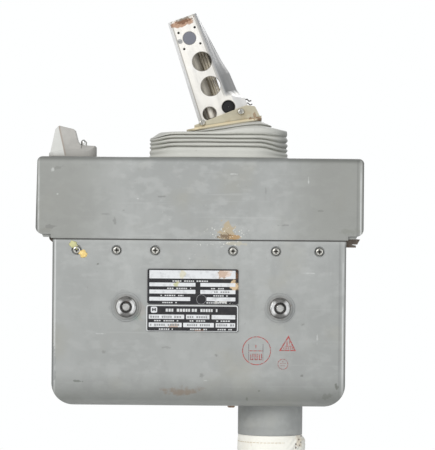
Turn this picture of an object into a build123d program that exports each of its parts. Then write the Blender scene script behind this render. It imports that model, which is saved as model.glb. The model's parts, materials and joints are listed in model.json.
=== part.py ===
from build123d import *
import math
import os

# Three-axis hand controller for an armrest: a cast box in two halves, a canted stick that
# tilts in two axes and twists, a rubber bellows round its root, a lock lever and a cable.
# Millimetres. X runs along the long side of the box, -Y is the face with the data plates,
# Z is up the stick side. The origin is the middle of the box at the joint of its two halves,
# where the dovetail rails hold it.

# ---- driving dimensions: housing -----------------------------------------------------------
HALF_DEPTH = 39.0          # half of the front-to-back size of both housings
WALL = 2.5                 # casting thickness
UPPER_LEFT = -100.3        # upper housing, bottom left
UPPER_LEFT_TOP = -99.4     # the left end leans in towards the top
UPPER_RIGHT = 99.8
UPPER_TOP = 50.0
LEDGE_Z = 2.4              # underside of the two overhanging ends
PAD_Z = 0.7                # underside of the pads that the rails hang from
LOWER_LEFT = -89.7
LOWER_RIGHT = 89.3
LOWER_BOTTOM = -102.1
GASKET_T = 0.8             # gasket in the joint between the two halves
CORNER_R = 14.0            # lower housing, bottom end corners
BELLY_R = 12.0             # lower housing, bottom front and back edges
SHOULDER_R = 4.5           # upper housing, top front and back edges
COLUMN_HOLE_R = 20.5       # room for the gimbal column at full travel

# ---- driving dimensions: fasteners ---------------------------------------------------------
SCREW_Z = -7.0
SCREW_XS = [-75.0, -50.6, -27.1, 20.3, 46.5, 73.0]
SCREW_HEAD_R = 2.45
SCREW_HEAD_H = 1.7
SCREW_R = 1.5
SPOT_R = 3.1               # spot face round each housing screw
SPOT_DEPTH = 0.8
STUD_XS = [-44.5, 49.2]
STUD_Z = -41.5
STUD_R = 2.95
BOSS_R = 9.0               # raised ring on the casting under each stud washer
BOSS_H = 0.4

# ---- driving dimensions: stick -------------------------------------------------------------
CANT = 20.0                # the stick leans this far to the left at rest, degrees
CAP_SLOPE = 9.5            # slope of the plate on top of the bellows, degrees
GIMBAL_X = 29.0            # point where the pitch, roll and twist axes meet
GIMBAL_Z = 32.0
CAP_W = 42.3               # height of the top of the bellows cap along the stick axis
CAP_T = 1.5                # thickness of that plate
STICK_FRONT = -9.0         # front plate of the stick frame
STICK_BACK = 9.0
STICK_WALL = 1.6
SHAFT_R = 7.0              # twist shaft in its bushes
FIT = 0.05                 # radial clearance of the running fits
LEG_T = 2.2                # upright leg of the base bracket
BRACKET_T = 1.4            # sloping foot of the base bracket
BRACKET_SCREWS = [(-13.0, 47.4), (12.0, 45.9)]
BRACKET_SCREW_R = 1.25
DISC_U = -2.8              # round boss near the top of the front plate
DISC_W = 99.7
DISC_R = 4.0
GRIP_HOLES_PCD = 15.0      # four small holes round the boss hold the grip
GRIP_HOLE_R = 0.75
# height up the stick: left edge, right edge of the front plate, right edge at the back
STICK_SECTIONS = [
    (34.0, -14.6, 17.4, 17.8), (53.2, -14.5, 17.2, 17.6), (57.0, -14.3, 10.0, 15.6),
    (60.5, -14.2, 7.2, 14.5), (72.0, -13.8, 6.9, 13.8), (81.0, -13.4, 6.8, 11.6),
    (99.5, -12.7, 6.5, 8.9), (113.0, -12.2, 6.2, 7.0),
]

# ---- driving dimensions: gimbals and support frame -----------------------------------------
HUB_HALF = 12.0            # half of the width of the roll hub
RING_IN = 14.0             # inside and outside of the square pitch ring, from its middle
RING_OUT = 20.0
RING_HALF_T = 4.5
TRUNNION_R = 3.0           # roll axis pins
TRUNNION_Y_R = 3.5         # pitch axis pins
BUSH_R = 9.0               # outside of the twist bushes
PLATE_IN = 29.9            # inner face of each support plate
PLATE_T = 3.0
SPACER_XS = [-48.0, 4.0, 54.0]
SPACER_Z = -50.0
STOP_X = 40.2              # window that stops the lower end of the stick
STOP_R = 23.5
BOARD_Z = -78.0            # underside of the terminal board

# ---- driving dimensions: lock --------------------------------------------------------------
LOCK_X = -72.5
LOCK_Y = -12.0
LOCK_SHAFT_R = 3.0
LOCK_SHAFT_TOP = 54.5
LOCK_SCREW_R = 1.2
LOCK_SEAT_Z = 57.2         # seat of the domed screw on the lever
CRANK_ARM = 10.0           # crank pin to lever axis
BAR_Y = LOCK_Y + 2
BAR_Z = 24.0
BAR_R = 3.0

# ---- driving dimensions: bellows -----------------------------------------------------------
BELLOWS_X = 11.0
BELLOWS_W = 86.0
BELLOWS_D = 66.0
BELLOWS_R = 26.0
BASE_RING_TOP = 55.8
STACK_TOP = 66.0

# ---- driving dimensions: cable -------------------------------------------------------------
COLLAR_X = 44.6
COLLAR_R = 20.1
COLLAR_BOTTOM = -121.0
SLEEVE_BOTTOM = -178.0
CABLE_R = 10.0
CABLE_ROUTE = [
    (44.6, 0.0, -178.0), (44.6, 0.0, -224.0), (48.2, 2.4, -274.0),
    (53.6, 5.4, -325.0), (56.0, 6.0, -373.0), (56.0, 6.0, -418.0),
]
PLUG_X = 56.0
PLUG_Y = 6.0
PLUG_TOP = -418.0
PLUG_R = 14.5              # plug shell inside its coupling ring

STICK = Location((GIMBAL_X, 0, GIMBAL_Z), (0, -CANT, 0))


def box(x0, x1, y0, y1, z0, z1):
    return Pos((x0 + x1) / 2, (y0 + y1) / 2, (z0 + z1) / 2) * Box(x1 - x0, y1 - y0, z1 - z0)


def rod(x, y, z0, z1, r):
    return Pos(x, y, (z0 + z1) / 2) * Cylinder(r, z1 - z0)


def rod_x(y, z, x0, x1, r):
    return Pos((x0 + x1) / 2, y, z) * Rot(0, 90, 0) * Cylinder(r, x1 - x0)


def rod_y(x, z, y0, y1, r):
    return Pos(x, (y0 + y1) / 2, z) * Rot(90, 0, 0) * Cylinder(r, y1 - y0)


def slab(sketch, y0, y1):
    """A shape drawn in X and Z, made solid from y0 to y1."""
    return extrude(Plane.XZ.offset(-y1) * sketch, y1 - y0)


def outline(points):
    return make_face(Polyline(*points, close=True))


def rounded(points, radii):
    """A closed outline with a radius at each of its points."""
    face = outline(points)
    for (x, z), radius in zip(points, radii):
        if radius > 0:
            corner = face.vertices().sort_by_distance((x, z, 0))[0]
            face = fillet(corner, radius)
    return face


def rounded_box(cx, cy, width, depth, radius, z0, z1):
    return extrude(Pos(cx, cy, z0) * RectangleRounded(width, depth, radius), z1 - z0)


def ring_box(cx, width, depth, radius, wall, z0, z1):
    outer = rounded_box(cx, 0, width, depth, radius, z0, z1)
    inner = rounded_box(cx, 0, width - 2 * wall, depth - 2 * wall, radius - wall, z0 - 1, z1 + 1)
    return outer - inner


def cap_level(x, thickness=0.0):
    """Height of the sloping top of the bellows cap at x, raised by a thickness."""
    axis_x = GIMBAL_X - CAP_W * math.sin(math.radians(CANT))
    axis_z = GIMBAL_Z + CAP_W * math.cos(math.radians(CANT))
    slope = math.radians(CAP_SLOPE)
    return axis_z + (x - axis_x) * math.tan(slope) + thickness / math.cos(slope)


def below_cap(thickness, depth=200.0):
    """Everything under the sloping plane that lies a thickness above the cap."""
    points = [(-150, cap_level(-150, thickness)), (150, cap_level(150, thickness)), (150, -300), (-150, -300)]
    return slab(outline(points), -depth, depth)


def cross_recess(size, width, depth):
    """Cross slot in a screw head whose face is at z = 0."""
    return Pos(0, 0, -depth / 2) * (Box(size, width, depth) + Box(width, size, depth))


def pan_screw(head_r, head_h, shank_r, length):
    """Pan-head screw: seat at z = 0, head above it, shank below, cross recess on top."""
    head = Pos(0, 0, head_h / 2) * Cylinder(head_r, head_h)
    head = fillet(head.edges().sort_by(Axis.Z)[-1], head_h * 0.6)
    shank = Pos(0, 0, -length / 2) * Cylinder(shank_r, length)
    return head + shank - Pos(0, 0, head_h) * cross_recess(head_r * 1.25, head_r * 0.28, head_h * 0.55)


# ---- housing -------------------------------------------------------------------------------
def upper_profile(inset):
    left, right, top = UPPER_LEFT + inset, UPPER_RIGHT - inset, UPPER_TOP - inset
    points = [(left, LEDGE_Z + inset), (UPPER_LEFT_TOP + inset, top), (right, top), (right, LEDGE_Z + inset)]
    return rounded(points, [4.5 - inset, 3.2 - inset / 2, 3.2 - inset / 2, 4.5 - inset])


def shoulder_block(inset):
    """Front-to-back section of the upper housing, with its rounded top edges."""
    half, top = HALF_DEPTH - inset, UPPER_TOP - inset
    section = Pos(0, (top - 20) / 2) * Rectangle(2 * half, top + 20)
    upper_corners = section.vertices().filter_by(lambda v: v.Y > 0)
    section = fillet(upper_corners, SHOULDER_R - inset * 0.8)
    return extrude(Plane.YZ.offset(-110) * section, 220)


def make_upper_housing():
    shell = slab(upper_profile(0), -HALF_DEPTH, HALF_DEPTH)
    shell += box(LOWER_LEFT - 1.2, LOWER_RIGHT + 1.2, -HALF_DEPTH, HALF_DEPTH, 0, 10)
    for side, root in ((-1, -LOWER_LEFT), (1, LOWER_RIGHT)):
        pad = [(root, PAD_Z), (root + 5.8, PAD_Z), (root + 7.2, LEDGE_Z + 1), (root, LEDGE_Z + 1)]
        shell += slab(outline([(side * x, z) for x, z in pad]), -37.5, 37.5)
    shell &= shoulder_block(0)
    hollow = slab(upper_profile(WALL), -HALF_DEPTH + WALL, HALF_DEPTH - WALL) & shoulder_block(WALL)
    mouth = box(LOWER_LEFT + WALL, LOWER_RIGHT - WALL, -HALF_DEPTH + WALL, HALF_DEPTH - WALL, -1, 12)
    shell = shell - hollow - mouth
    # screw flanges that reach down inside the lower housing, front and back
    for side in (-1, 1):
        low, high = sorted((side * 33.8, side * 36.3))
        shell += box(-80, 80, low, high, -12, 6)
        low, high = sorted((side * 33.8, side * 37.5))
        shell += box(-80, 80, low, high, 2, 6)
        for x in SCREW_XS:
            shell -= rod_y(x, SCREW_Z, side * 35 - 4, side * 35 + 4, SCREW_R + FIT)
    # hole for the gimbal column and hole for the lock shaft
    shell -= rod(22.4, 0, 40, 60, COLUMN_HOLE_R)
    shell -= rod(LOCK_X, LOCK_Y, 40, 60, LOCK_SHAFT_R + FIT)
    return shell


def tub(inset):
    left, right, bottom = LOWER_LEFT + inset, LOWER_RIGHT - inset, LOWER_BOTTOM + inset
    half = HALF_DEPTH - inset
    points = [(left, 10), (left, bottom), (right, bottom), (right, 10)]
    side_view = slab(rounded(points, [0, CORNER_R - inset, CORNER_R - inset, 0]), -half, half)
    section = Pos(0, (bottom + 10) / 2) * Rectangle(2 * half, 10 - bottom)
    section = fillet(section.vertices().filter_by(lambda v: v.Y < 0), BELLY_R - inset)
    return side_view & extrude(Plane.YZ.offset(-110) * section, 220)


def make_lower_housing():
    shell = tub(0) - tub(WALL) - box(-120, 120, -60, 60, -GASKET_T, 20)
    for x in STUD_XS:
        shell += rod_y(x, STUD_Z, -HALF_DEPTH - BOSS_H, -HALF_DEPTH + 1, BOSS_R)
        shell -= rod_y(x, STUD_Z, -HALF_DEPTH - 2, -30, STUD_R + 0.2)
    for side in (-1, 1):
        for x in SCREW_XS:
            wall_y = side * HALF_DEPTH
            spot = sorted((wall_y + side, wall_y - side * SPOT_DEPTH))
            shell -= rod_y(x, SCREW_Z, spot[0], spot[1], SPOT_R)
            shell -= rod_y(x, SCREW_Z, side * 38 - 3, side * 38 + 3, SCREW_R + 0.2)
    shell -= rod(COLLAR_X, 0, LOWER_BOTTOM - 1, LOWER_BOTTOM + 6, 16.2)
    shell -= rod(20.1, -22, LOWER_BOTTOM - 1, LOWER_BOTTOM + 6, 1.3)
    return shell


def make_gasket():
    outer = box(LOWER_LEFT + 0.4, LOWER_RIGHT - 0.4, -HALF_DEPTH + 0.4, HALF_DEPTH - 0.4, -GASKET_T, 0)
    inset = WALL + 0.1
    inner = box(LOWER_LEFT + inset, LOWER_RIGHT - inset, -HALF_DEPTH + inset, HALF_DEPTH - inset, -2, 2)
    return outer - inner


def make_housing_screws(side):
    seat = side * (HALF_DEPTH - SPOT_DEPTH)
    screw = pan_screw(SCREW_HEAD_R, SCREW_HEAD_H, SCREW_R, 5.0)
    turn = 90 if side < 0 else -90
    return Compound(children=[Pos(x, seat, SCREW_Z) * Rot(turn, 0, 0) * screw for x in SCREW_XS])


def make_dovetail(side):
    """Rail under an overhanging end: a slim wedge on the left, a dovetail over a lip on the right."""
    if side < 0:
        root = -LOWER_LEFT
        points = [
            (root + 1.2, PAD_Z), (root + 2.8, PAD_Z), (root + 2.3, -1.0), (root, -3.0), (root, 0), (root + 1.2, 0),
        ]
    else:
        root = LOWER_RIGHT
        points = [
            (root + 1.2, PAD_Z), (root + 8.8, PAD_Z), (root + 7.1, -2.4), (root + 4.0, -2.4), (root + 4.0, -3.0),
            (root + 6.3, -3.0), (root + 6.3, -4.3), (root, -4.3), (root, 0), (root + 1.2, 0),
        ]
    return slab(outline([(side * x, z) for x, z in points]), -31, 31)


def make_data_plate(x0, x1, z0, z1):
    plate = Pos((x0 + x1) / 2, (z0 + z1) / 2) * RectangleRounded(x1 - x0, z1 - z0, 1.2)
    return slab(plate, -HALF_DEPTH - 0.5, -HALF_DEPTH)


def make_studs():
    studs = []
    for x in STUD_XS:
        stud = rod_y(x, STUD_Z, -HALF_DEPTH - 5.0, -30.2, STUD_R)
        studs.append(chamfer(stud.edges().sort_by(Axis.Y)[0], 0.9))
    return Compound(children=studs)


def make_stud_washers():
    seat = -HALF_DEPTH - BOSS_H
    return Compound(children=[
        rod_y(x, STUD_Z, seat - 1.2, seat, 7.5) - rod_y(x, STUD_Z, seat - 3, seat + 1, STUD_R + 0.3)
        for x in STUD_XS
    ])


def make_stud_nuts():
    seat = -HALF_DEPTH - BOSS_H - 1.2
    nuts = []
    for x in STUD_XS:
        flange = rod_y(x, STUD_Z, seat - 0.9, seat, 6.3)
        hexagon = slab(Pos(x, STUD_Z) * RegularPolygon(6.1, 6, rotation=12), seat - 3.6, seat)
        cone = Pos(x, seat - 1.8, STUD_Z) * Rot(90, 0, 0) * Cone(7.4, 5.2, 3.6)
        nut = flange + (hexagon & cone) - rod_y(x, STUD_Z, seat - 5, seat + 1, STUD_R + FIT)
        nuts.append(nut - rod_y(x, STUD_Z, seat - 5, seat - 2.9, STUD_R + 0.7))
    return Compound(children=nuts)


# ---- bellows -------------------------------------------------------------------------------
def make_bellows_base():
    return ring_box(BELLOWS_X, BELLOWS_W, BELLOWS_D, BELLOWS_R, 6.0, UPPER_TOP, BASE_RING_TOP)


def make_bellows_outer():
    return ring_box(BELLOWS_X, BELLOWS_W, BELLOWS_D, BELLOWS_R, 5.0, BASE_RING_TOP, STACK_TOP)


def make_bellows_middle():
    return ring_box(BELLOWS_X, BELLOWS_W - 10.2, BELLOWS_D - 10.2, BELLOWS_R - 5.1, 4.4, 60.6, 62.6)


def make_bellows_inner():
    return ring_box(BELLOWS_X, BELLOWS_W - 19.0, BELLOWS_D - 19.0, BELLOWS_R - 9.5, 4.0, 62.8, 64.6)


def make_bellows_neck():
    neck = ring_box(17.4, 52.0, 43.0, 17.0, 5.0, 64.8, 90)
    return neck & below_cap(-CAP_T - 0.4)


# ---- stick ---------------------------------------------------------------------------------
def cap_plate(x0, x1, half_depth, radius, low, high):
    plate = rounded_box((x0 + x1) / 2, 0, x1 - x0, 2 * half_depth, radius, 40, 110)
    return (plate & below_cap(high)) - below_cap(low)


def make_bellows_cap():
    plate = cap_plate(-9.0, 37.6, 15.8, 8.0, -CAP_T, 0.0)
    return plate - STICK * rod(0, 0, 20, 60, SHAFT_R + 0.1)


def make_base_bracket():
    """Angle with a sloping foot on the cap and an upright leg in front of the stick frame."""
    foot = box(-4.2, 37.4, STICK_FRONT - LEG_T, 12.5, 40, 110) & below_cap(BRACKET_T)
    foot -= below_cap(0.0)
    foot -= STICK * rod(0, 0, 20, 60, SHAFT_R + 0.1)
    leg_points = [(-26, 47.4), (16.6, 48.6), (21.4, 46.2), (23.4, 30), (-26, 30)]
    leg = STICK * slab(rounded(leg_points, [0, 2.5, 1.5, 0, 0]), STICK_FRONT - LEG_T, STICK_FRONT)
    leg = (leg & box(-4.2, 60, -40, 40, 40, 110)) - below_cap(0.0)
    bracket = foot + leg
    for u, w in BRACKET_SCREWS:
        bracket -= STICK * rod_y(u, w, STICK_FRONT - 5, STICK_FRONT + 6, BRACKET_SCREW_R + FIT)
    return bracket


def make_bracket_screws():
    screw = Rot(90, 0, 0) * pan_screw(2.05, 1.5, BRACKET_SCREW_R, 5.4)
    return Compound(children=[STICK * Pos(u, STICK_FRONT - LEG_T, w) * screw for u, w in BRACKET_SCREWS])


def stick_section(height, left, front_right, back_right, wall):
    """One level of the stick frame: a bevelled front left edge and a slanting right side."""
    bevel = 2.1
    front, back = STICK_FRONT + wall, STICK_BACK - wall
    points = [
        (left + wall, front + bevel), (left + wall + bevel, front), (front_right - wall * 0.7, front),
        (back_right - wall, back), (left + wall, back),
    ]
    return Pos(0, 0, height) * outline(points)


def stick_loft(wall, top_trim):
    levels = [list(level) for level in STICK_SECTIONS]
    levels[-1][0] -= top_trim
    return loft([stick_section(*level, wall) for level in levels], ruled=True)


def make_stick_frame():
    frame = stick_loft(0.0, 0.0) - stick_loft(STICK_WALL, STICK_WALL)
    through = STICK_FRONT - 2, STICK_FRONT + 2.2
    frame -= rod_y(DISC_U, DISC_W, *through, DISC_R + FIT)
    for k in range(4):
        angle = math.radians(45 + 90 * k)
        u = DISC_U + GRIP_HOLES_PCD / 2 * math.cos(angle)
        w = DISC_W + GRIP_HOLES_PCD / 2 * math.sin(angle)
        frame -= rod_y(u, w, *through, GRIP_HOLE_R)
    frame -= rod_y(-9.0, DISC_W, *through, 1.3)
    frame -= rod_y(-0.3, 83.5, *through, 5.95)
    frame -= rod_y(-0.3, 67.2, *through, 6.1)
    frame -= rod_y(-6.6, 51.3, *through, 4.25)
    frame -= rod_y(5.8, 51.4, *through, 4.1)
    for u, w in BRACKET_SCREWS:
        frame -= rod_y(u, w, STICK_FRONT - 1, STICK_FRONT + 4, BRACKET_SCREW_R + FIT)
    # lightening slots in the back plate
    slot = Rot(0, 0, 90) * SlotOverall(17.0, 8.4)
    frame -= slab(Pos(5.6, 66.5) * slot, 5, 12)
    frame -= slab(Pos(-7.2, 66.5) * slot, 5, 12)
    frame -= slab(Pos(-2.4, 91.0) * Rot(0, 0, 90) * SlotOverall(20.0, 7.0), 5, 12)
    return STICK * frame - below_cap(BRACKET_T)


def make_grip_boss():
    disc = rod_y(DISC_U, DISC_W, STICK_FRONT - 0.1, STICK_FRONT + 5, DISC_R)
    return STICK * (disc + rod_y(DISC_U, DISC_W, STICK_FRONT + 5, STICK_BACK - STICK_WALL, 2.5))


def make_slot_screw():
    head = rod_y(-9.0, DISC_W, STICK_FRONT - 0.5, STICK_FRONT, 1.45)
    head -= box(-11, -7, STICK_FRONT - 0.9, STICK_FRONT - 0.2, DISC_W - 0.2, DISC_W + 0.2)
    return STICK * (head + rod_y(-9.0, DISC_W, STICK_FRONT, STICK_FRONT + 1.6, 1.25))


def make_conduit():
    tube = rod(-6.0, 0.5, 48.5, 90.0, 4.9) - rod(-6.0, 0.5, 40, 95, 4.0)
    return STICK * tube


def make_grip_wires():
    """Three insulated wires side by side in the stick, up to the missing grip."""
    return Compound(children=[STICK * rod(2.0 + 1.8 * k, 2.6, 48.5, 92.0, 0.85) for k in (-1, 0, 1)])


def make_twist_shaft():
    shaft = rod(0, 0, -12, 47.0, SHAFT_R) + rod(0, 0, -33, -12, 5.0)
    return STICK * (shaft - rod(0, 0, -40, 60, 3.5))


# ---- gimbals -------------------------------------------------------------------------------
def make_pitch_ring():
    ring = Box(2 * RING_OUT, 2 * RING_OUT, 2 * RING_HALF_T) - Box(2 * RING_IN, 2 * RING_IN, 20)
    ring = fillet(ring.edges().filter_by(Axis.Z), 2.0)
    ring -= rod_x(0, 0, -30, 30, TRUNNION_R + FIT)
    for side in (-1, 1):
        low, high = sorted((side * RING_OUT, side * (PLATE_IN + PLATE_T)))
        ring += rod_y(0, 0, low, high, TRUNNION_Y_R)
    return STICK * ring


def make_roll_hub():
    hub = Box(2 * HUB_HALF, 2 * HUB_HALF, 14)
    hub = fillet(hub.edges().filter_by(Axis.Z), 2.0)
    hub += rod_x(0, 0, HUB_HALF - 0.5, RING_OUT, TRUNNION_R)
    hub += rod_x(0, 0, -27.0, -HUB_HALF + 0.5, TRUNNION_R)
    return STICK * (hub - rod(0, 0, -20, 20, BUSH_R))


def make_twist_bushes():
    bush = rod(0, 0, -3, 3, BUSH_R) - rod(0, 0, -5, 5, SHAFT_R + FIT)
    return Compound(children=[STICK * Pos(0, 0, w) * bush for w in (-4, 4)])


def make_column():
    tube = rod(0, 0, 7, 36, 11.0) - rod(0, 0, 0, 40, 8.2)
    return STICK * (tube + (rod(0, 0, 7, 9.5, 12.0) - rod(0, 0, 0, 40, 8.2)))


def make_twist_housing():
    cup = rod(0, 0, -34.5, -7, 12.0) - rod(0, 0, -33.3, -6, 10.4)
    return STICK * (cup - rod(0, 0, -40, -30, 4.2))


def make_spring(radius, wire, pitch, turns):
    path = Helix(pitch, pitch * turns, radius)
    profile = Plane(origin=path @ 0, z_dir=path % 0) * Circle(wire / 2)
    return sweep(profile, path=path)


def make_twist_spring():
    return STICK * Pos(0, 0, -20.0) * make_spring(7.8, 1.0, 1.9, 4)


def make_ring(z0, z1, inner, outer):
    return rod(0, 0, z0, z1, outer) - rod(0, 0, z0 - 1, z1 + 1, inner)


def turn_to_y(shape, y):
    return STICK * Pos(0, y, 0) * Rot(90, 0, 0) * shape


def turn_to_x(shape, x):
    return STICK * Pos(x, 0, 0) * Rot(0, 90, 0) * shape


# ---- support frame -------------------------------------------------------------------------
def make_support_plate(side):
    """Plate that carries one end of the pitch axis and hangs down to the studs."""
    points = [
        (-56, -54), (-56, -30), (2, -8), (12, 38), (20, 44), (38, 44), (46, 38), (60, -16), (62, -54),
    ]
    low, high = sorted((side * PLATE_IN, side * (PLATE_IN + PLATE_T)))
    plate = slab(rounded(points, [4, 8, 14, 4, 4, 4, 4, 8, 4]), low, high)
    plate -= rod_y(GIMBAL_X, GIMBAL_Z, low - 1, high + 1, 6.5)
    plate -= slab(Pos(27, -30) * RectangleRounded(30, 24, 4), low - 1, high + 1)
    plate -= slab(Pos(-16, -37) * RectangleRounded(32, 18, 4), low - 1, high + 1)
    for x in STUD_XS:
        plate -= rod_y(x, STUD_Z, low - 1, high + 1, STUD_R + FIT)
    for x in SPACER_XS:
        plate -= rod_y(x, SPACER_Z, low - 1, high + 1, 2.05)
    return plate


def make_spacers():
    """Round bars that tie the two plates together, and tubes that hold them off the wall."""
    tip = PLATE_IN + 2.8
    bars = [
        rod_y(x, SPACER_Z, -PLATE_IN, PLATE_IN, 4.0) + rod_y(x, SPACER_Z, -tip, tip, 2.0)
        for x in SPACER_XS
    ]
    tubes = [
        rod_y(x, STUD_Z, -36.5, -PLATE_IN - PLATE_T, 5.5) - rod_y(x, STUD_Z, -40, -30, STUD_R + 0.3)
        for x in STUD_XS
    ]
    return Compound(children=bars + tubes)


def make_stop_plate():
    """Plate whose round window stops the lower end of the stick at full travel."""
    plate = box(12, 74, -PLATE_IN, PLATE_IN, -1.0, 2.0)
    return plate - rod(STOP_X, 0, -5, 10, STOP_R)


def make_trunnion_bearings():
    return Compound(children=[
        turn_to_y(make_ring(-1.5, 1.5, TRUNNION_Y_R + FIT, 6.5), side * (PLATE_IN + PLATE_T / 2))
        for side in (-1, 1)
    ])


def make_switches():
    """Snap switches on the stop plate, with a plunger on each."""
    switches = []
    for x, y in [(17.0, -22.0), (17.0, 22.0), (67.0, -22.0), (67.0, 22.0)]:
        case = box(x - 5, x + 5, y - 7, y + 7, -7.5, -1.0)
        switches.append(case + rod(x, y, -9.0, -7.0, 1.2))
    return Compound(children=switches)


def make_terminal_board():
    board = box(-46, 20, -26, 26, BOARD_Z, BOARD_Z + 1.6)
    for x in range(-40, 18, 8):
        for y in (-20, 20):
            board += rod(x, y, BOARD_Z + 1.5, BOARD_Z + 5.5, 1.5)
    return board


def make_standoffs():
    return Compound(children=[
        rod(x, y, LOWER_BOTTOM + WALL, BOARD_Z, 3.0) for x in (-42, 13) for y in (-22, 22)
    ])


# ---- lock ----------------------------------------------------------------------------------
def make_lock_lever():
    """Flat lever on the top face with a tapered thumb fin at its free end."""
    side_view = [(-93.9, 50.3), (-93.9, 52.6), (-85.0, 54.2), (-76.5, 57.6), (-64.6, 57.0), (-64.6, 50.3)]
    body = slab(rounded(side_view, [0, 0.6, 0, 0, 1.2, 0]), LOCK_Y - 9, LOCK_Y + 9)
    body &= rounded_box(-79.25, LOCK_Y, 29.3, 18.0, 6.0, 45, 75)
    body -= extrude(Plane.YZ.offset(-110) * outline([(-22, 52.8), (-22, 62), (-12.8, 62)]), 60)
    foot = [(-73.8, -21), (-84.7, -21), (-93.9, -12.5), (-93.9, -6), (-91, -3.5), (-73.8, -3.5)]
    head = [(-73.8, -16.5), (-87.6, -16.5), (-89.6, -14.2), (-89.6, -9), (-88, -7), (-73.8, -7)]
    fin = loft([Pos(0, 0, 50.3) * outline(foot), Pos(0, 0, 70.0) * outline(head)], ruled=True)
    fin &= slab(outline([
        (-96, 50.3), (-96, 66.5), (-89.9, 67.4), (-88.6, 68.9), (-87.3, 69.4), (-84.9, 68.8), (-78.8, 67.4),
        (-77.7, 66.5), (-76.0, 60.0), (-73.9, 57.3), (-73.9, 50.3),
    ]), -30, 5)
    lever = body + fin - rod(LOCK_X, LOCK_Y, 40, LOCK_SHAFT_TOP, LOCK_SHAFT_R)
    lever -= rod(LOCK_X, LOCK_Y, 50, 80, LOCK_SCREW_R + FIT)
    return lever - rod(LOCK_X, LOCK_Y, LOCK_SEAT_Z, 80, 2.1)


def make_lock_screw():
    shank = rod(LOCK_X, LOCK_Y, 49.5, LOCK_SEAT_Z, LOCK_SCREW_R)
    return shank + rod(LOCK_X, LOCK_Y, LOCK_SEAT_Z, 59.2, 1.9) + Pos(LOCK_X, LOCK_Y, 59.2) * Sphere(1.9)


def make_lock_shaft():
    """Shaft under the lever, with a collar under the top wall and a crank at its foot."""
    shaft = rod(LOCK_X, LOCK_Y, 30, LOCK_SHAFT_TOP, LOCK_SHAFT_R)
    crank = box(LOCK_X - 5, LOCK_X + 5, LOCK_Y - 5, LOCK_Y + 14, 32, 36)
    crank = fillet(crank.edges().filter_by(Axis.Z), 4.0)
    crank += rod(LOCK_X, LOCK_Y + CRANK_ARM, 24, 33, 1.5)
    return shaft + crank + rod(LOCK_X, LOCK_Y, 44.0, 47.3, 5.0) - rod(LOCK_X, LOCK_Y, 49, 60, LOCK_SCREW_R + FIT)


def make_lock_bar():
    """Bar that the crank pin pushes along the housing towards the gimbal."""
    bar = rod_x(BAR_Y, BAR_Z, LOCK_X + 4, -10, BAR_R)
    lug = box(LOCK_X - 5, LOCK_X + 5, BAR_Y - 3, BAR_Y + 12, 21, 28)
    slot = box(LOCK_X - 2.1, LOCK_X + 2.1, BAR_Y - 1, BAR_Y + 10.4, 20, 30)
    return bar + lug - slot


def make_lock_guides():
    """Two eyes on a plate that stands on the front support plate."""
    guide = box(-54, -14, -PLATE_IN, -PLATE_IN + 2, -24, 32)
    for x in (-48.0, -20.0):
        guide += box(x - 4, x + 4, -PLATE_IN + 1, BAR_Y + 6, 18, 30)
        guide -= rod_x(BAR_Y, BAR_Z, x - 8, x + 8, BAR_R + FIT)
    return guide


# ---- cable ---------------------------------------------------------------------------------
def make_collar():
    collar = rod(COLLAR_X, 0, COLLAR_BOTTOM, LOWER_BOTTOM, COLLAR_R)
    collar += rod(COLLAR_X, 0, LOWER_BOTTOM, LOWER_BOTTOM + 9, 16.0)
    return collar - rod(COLLAR_X, 0, COLLAR_BOTTOM - 1, -80, 13.0)


def make_collar_nut():
    nut = rod(COLLAR_X, 0, LOWER_BOTTOM + WALL, LOWER_BOTTOM + 7.5, 21.0)
    for k in range(6):
        angle = math.radians(60 * k)
        nut -= rod(COLLAR_X + 21.6 * math.cos(angle), 21.6 * math.sin(angle), -110, -80, 2.2)
    return nut - rod(COLLAR_X, 0, -120, -80, 16.0 + FIT)


def make_bottom_screw():
    return Pos(20.1, -22, LOWER_BOTTOM) * Rot(180, 0, 0) * pan_screw(2.3, 1.4, 1.25, 5.0)


def make_sleeve():
    """Cloth boot that tapers from the collar to the cable."""
    levels = [(COLLAR_BOTTOM, 20.1), (-138.0, 20.3), (-156.0, 16.4), (SLEEVE_BOTTOM, 11.4)]
    return loft([Pos(COLLAR_X, 0, z) * Circle(r) for z, r in levels], ruled=True)


def corner_radii(points):
    """Largest tangent arc that each corner of the route has room for."""
    radii = []
    for a, b, c in zip(points, points[1:], points[2:]):
        into, out = Vector(*b) - Vector(*a), Vector(*c) - Vector(*b)
        half_turn = math.radians(into.get_angle(out)) / 2
        radii.append(0.45 * min(into.length, out.length) / math.tan(half_turn))
    return radii


def make_cable():
    radii = corner_radii(CABLE_ROUTE)
    path = FilletPolyline(*CABLE_ROUTE, radius=radii)
    profile = Plane(origin=path @ 0, z_dir=path % 0) * Circle(CABLE_R)
    tube = sweep(profile, path=path)
    print("cable arc radii", [round(r) for r in radii], "length", round(path.length, 1))
    print("cable volume / (section x length)", round(tube.volume / (math.pi * CABLE_R**2 * path.length), 4))
    return tube


def plug_rod(depth0, depth1, r):
    """A round step of the plug, from depth0 to depth1 below the end of the cable."""
    return rod(PLUG_X, PLUG_Y, PLUG_TOP - depth1, PLUG_TOP - depth0, r)


def make_backshell():
    cone = Pos(PLUG_X, PLUG_Y, PLUG_TOP - 9) * Cone(17.0, 11.5, 18)
    return cone + plug_rod(18, 21, 18.0)


def make_plug_shell():
    """Shell with a snap ring under the coupling ring and a well for the pins."""
    shell = plug_rod(21, 48, PLUG_R) + plug_rod(43.2, 44.4, 16.2)
    return shell - plug_rod(36, 50, 13.0)


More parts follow.
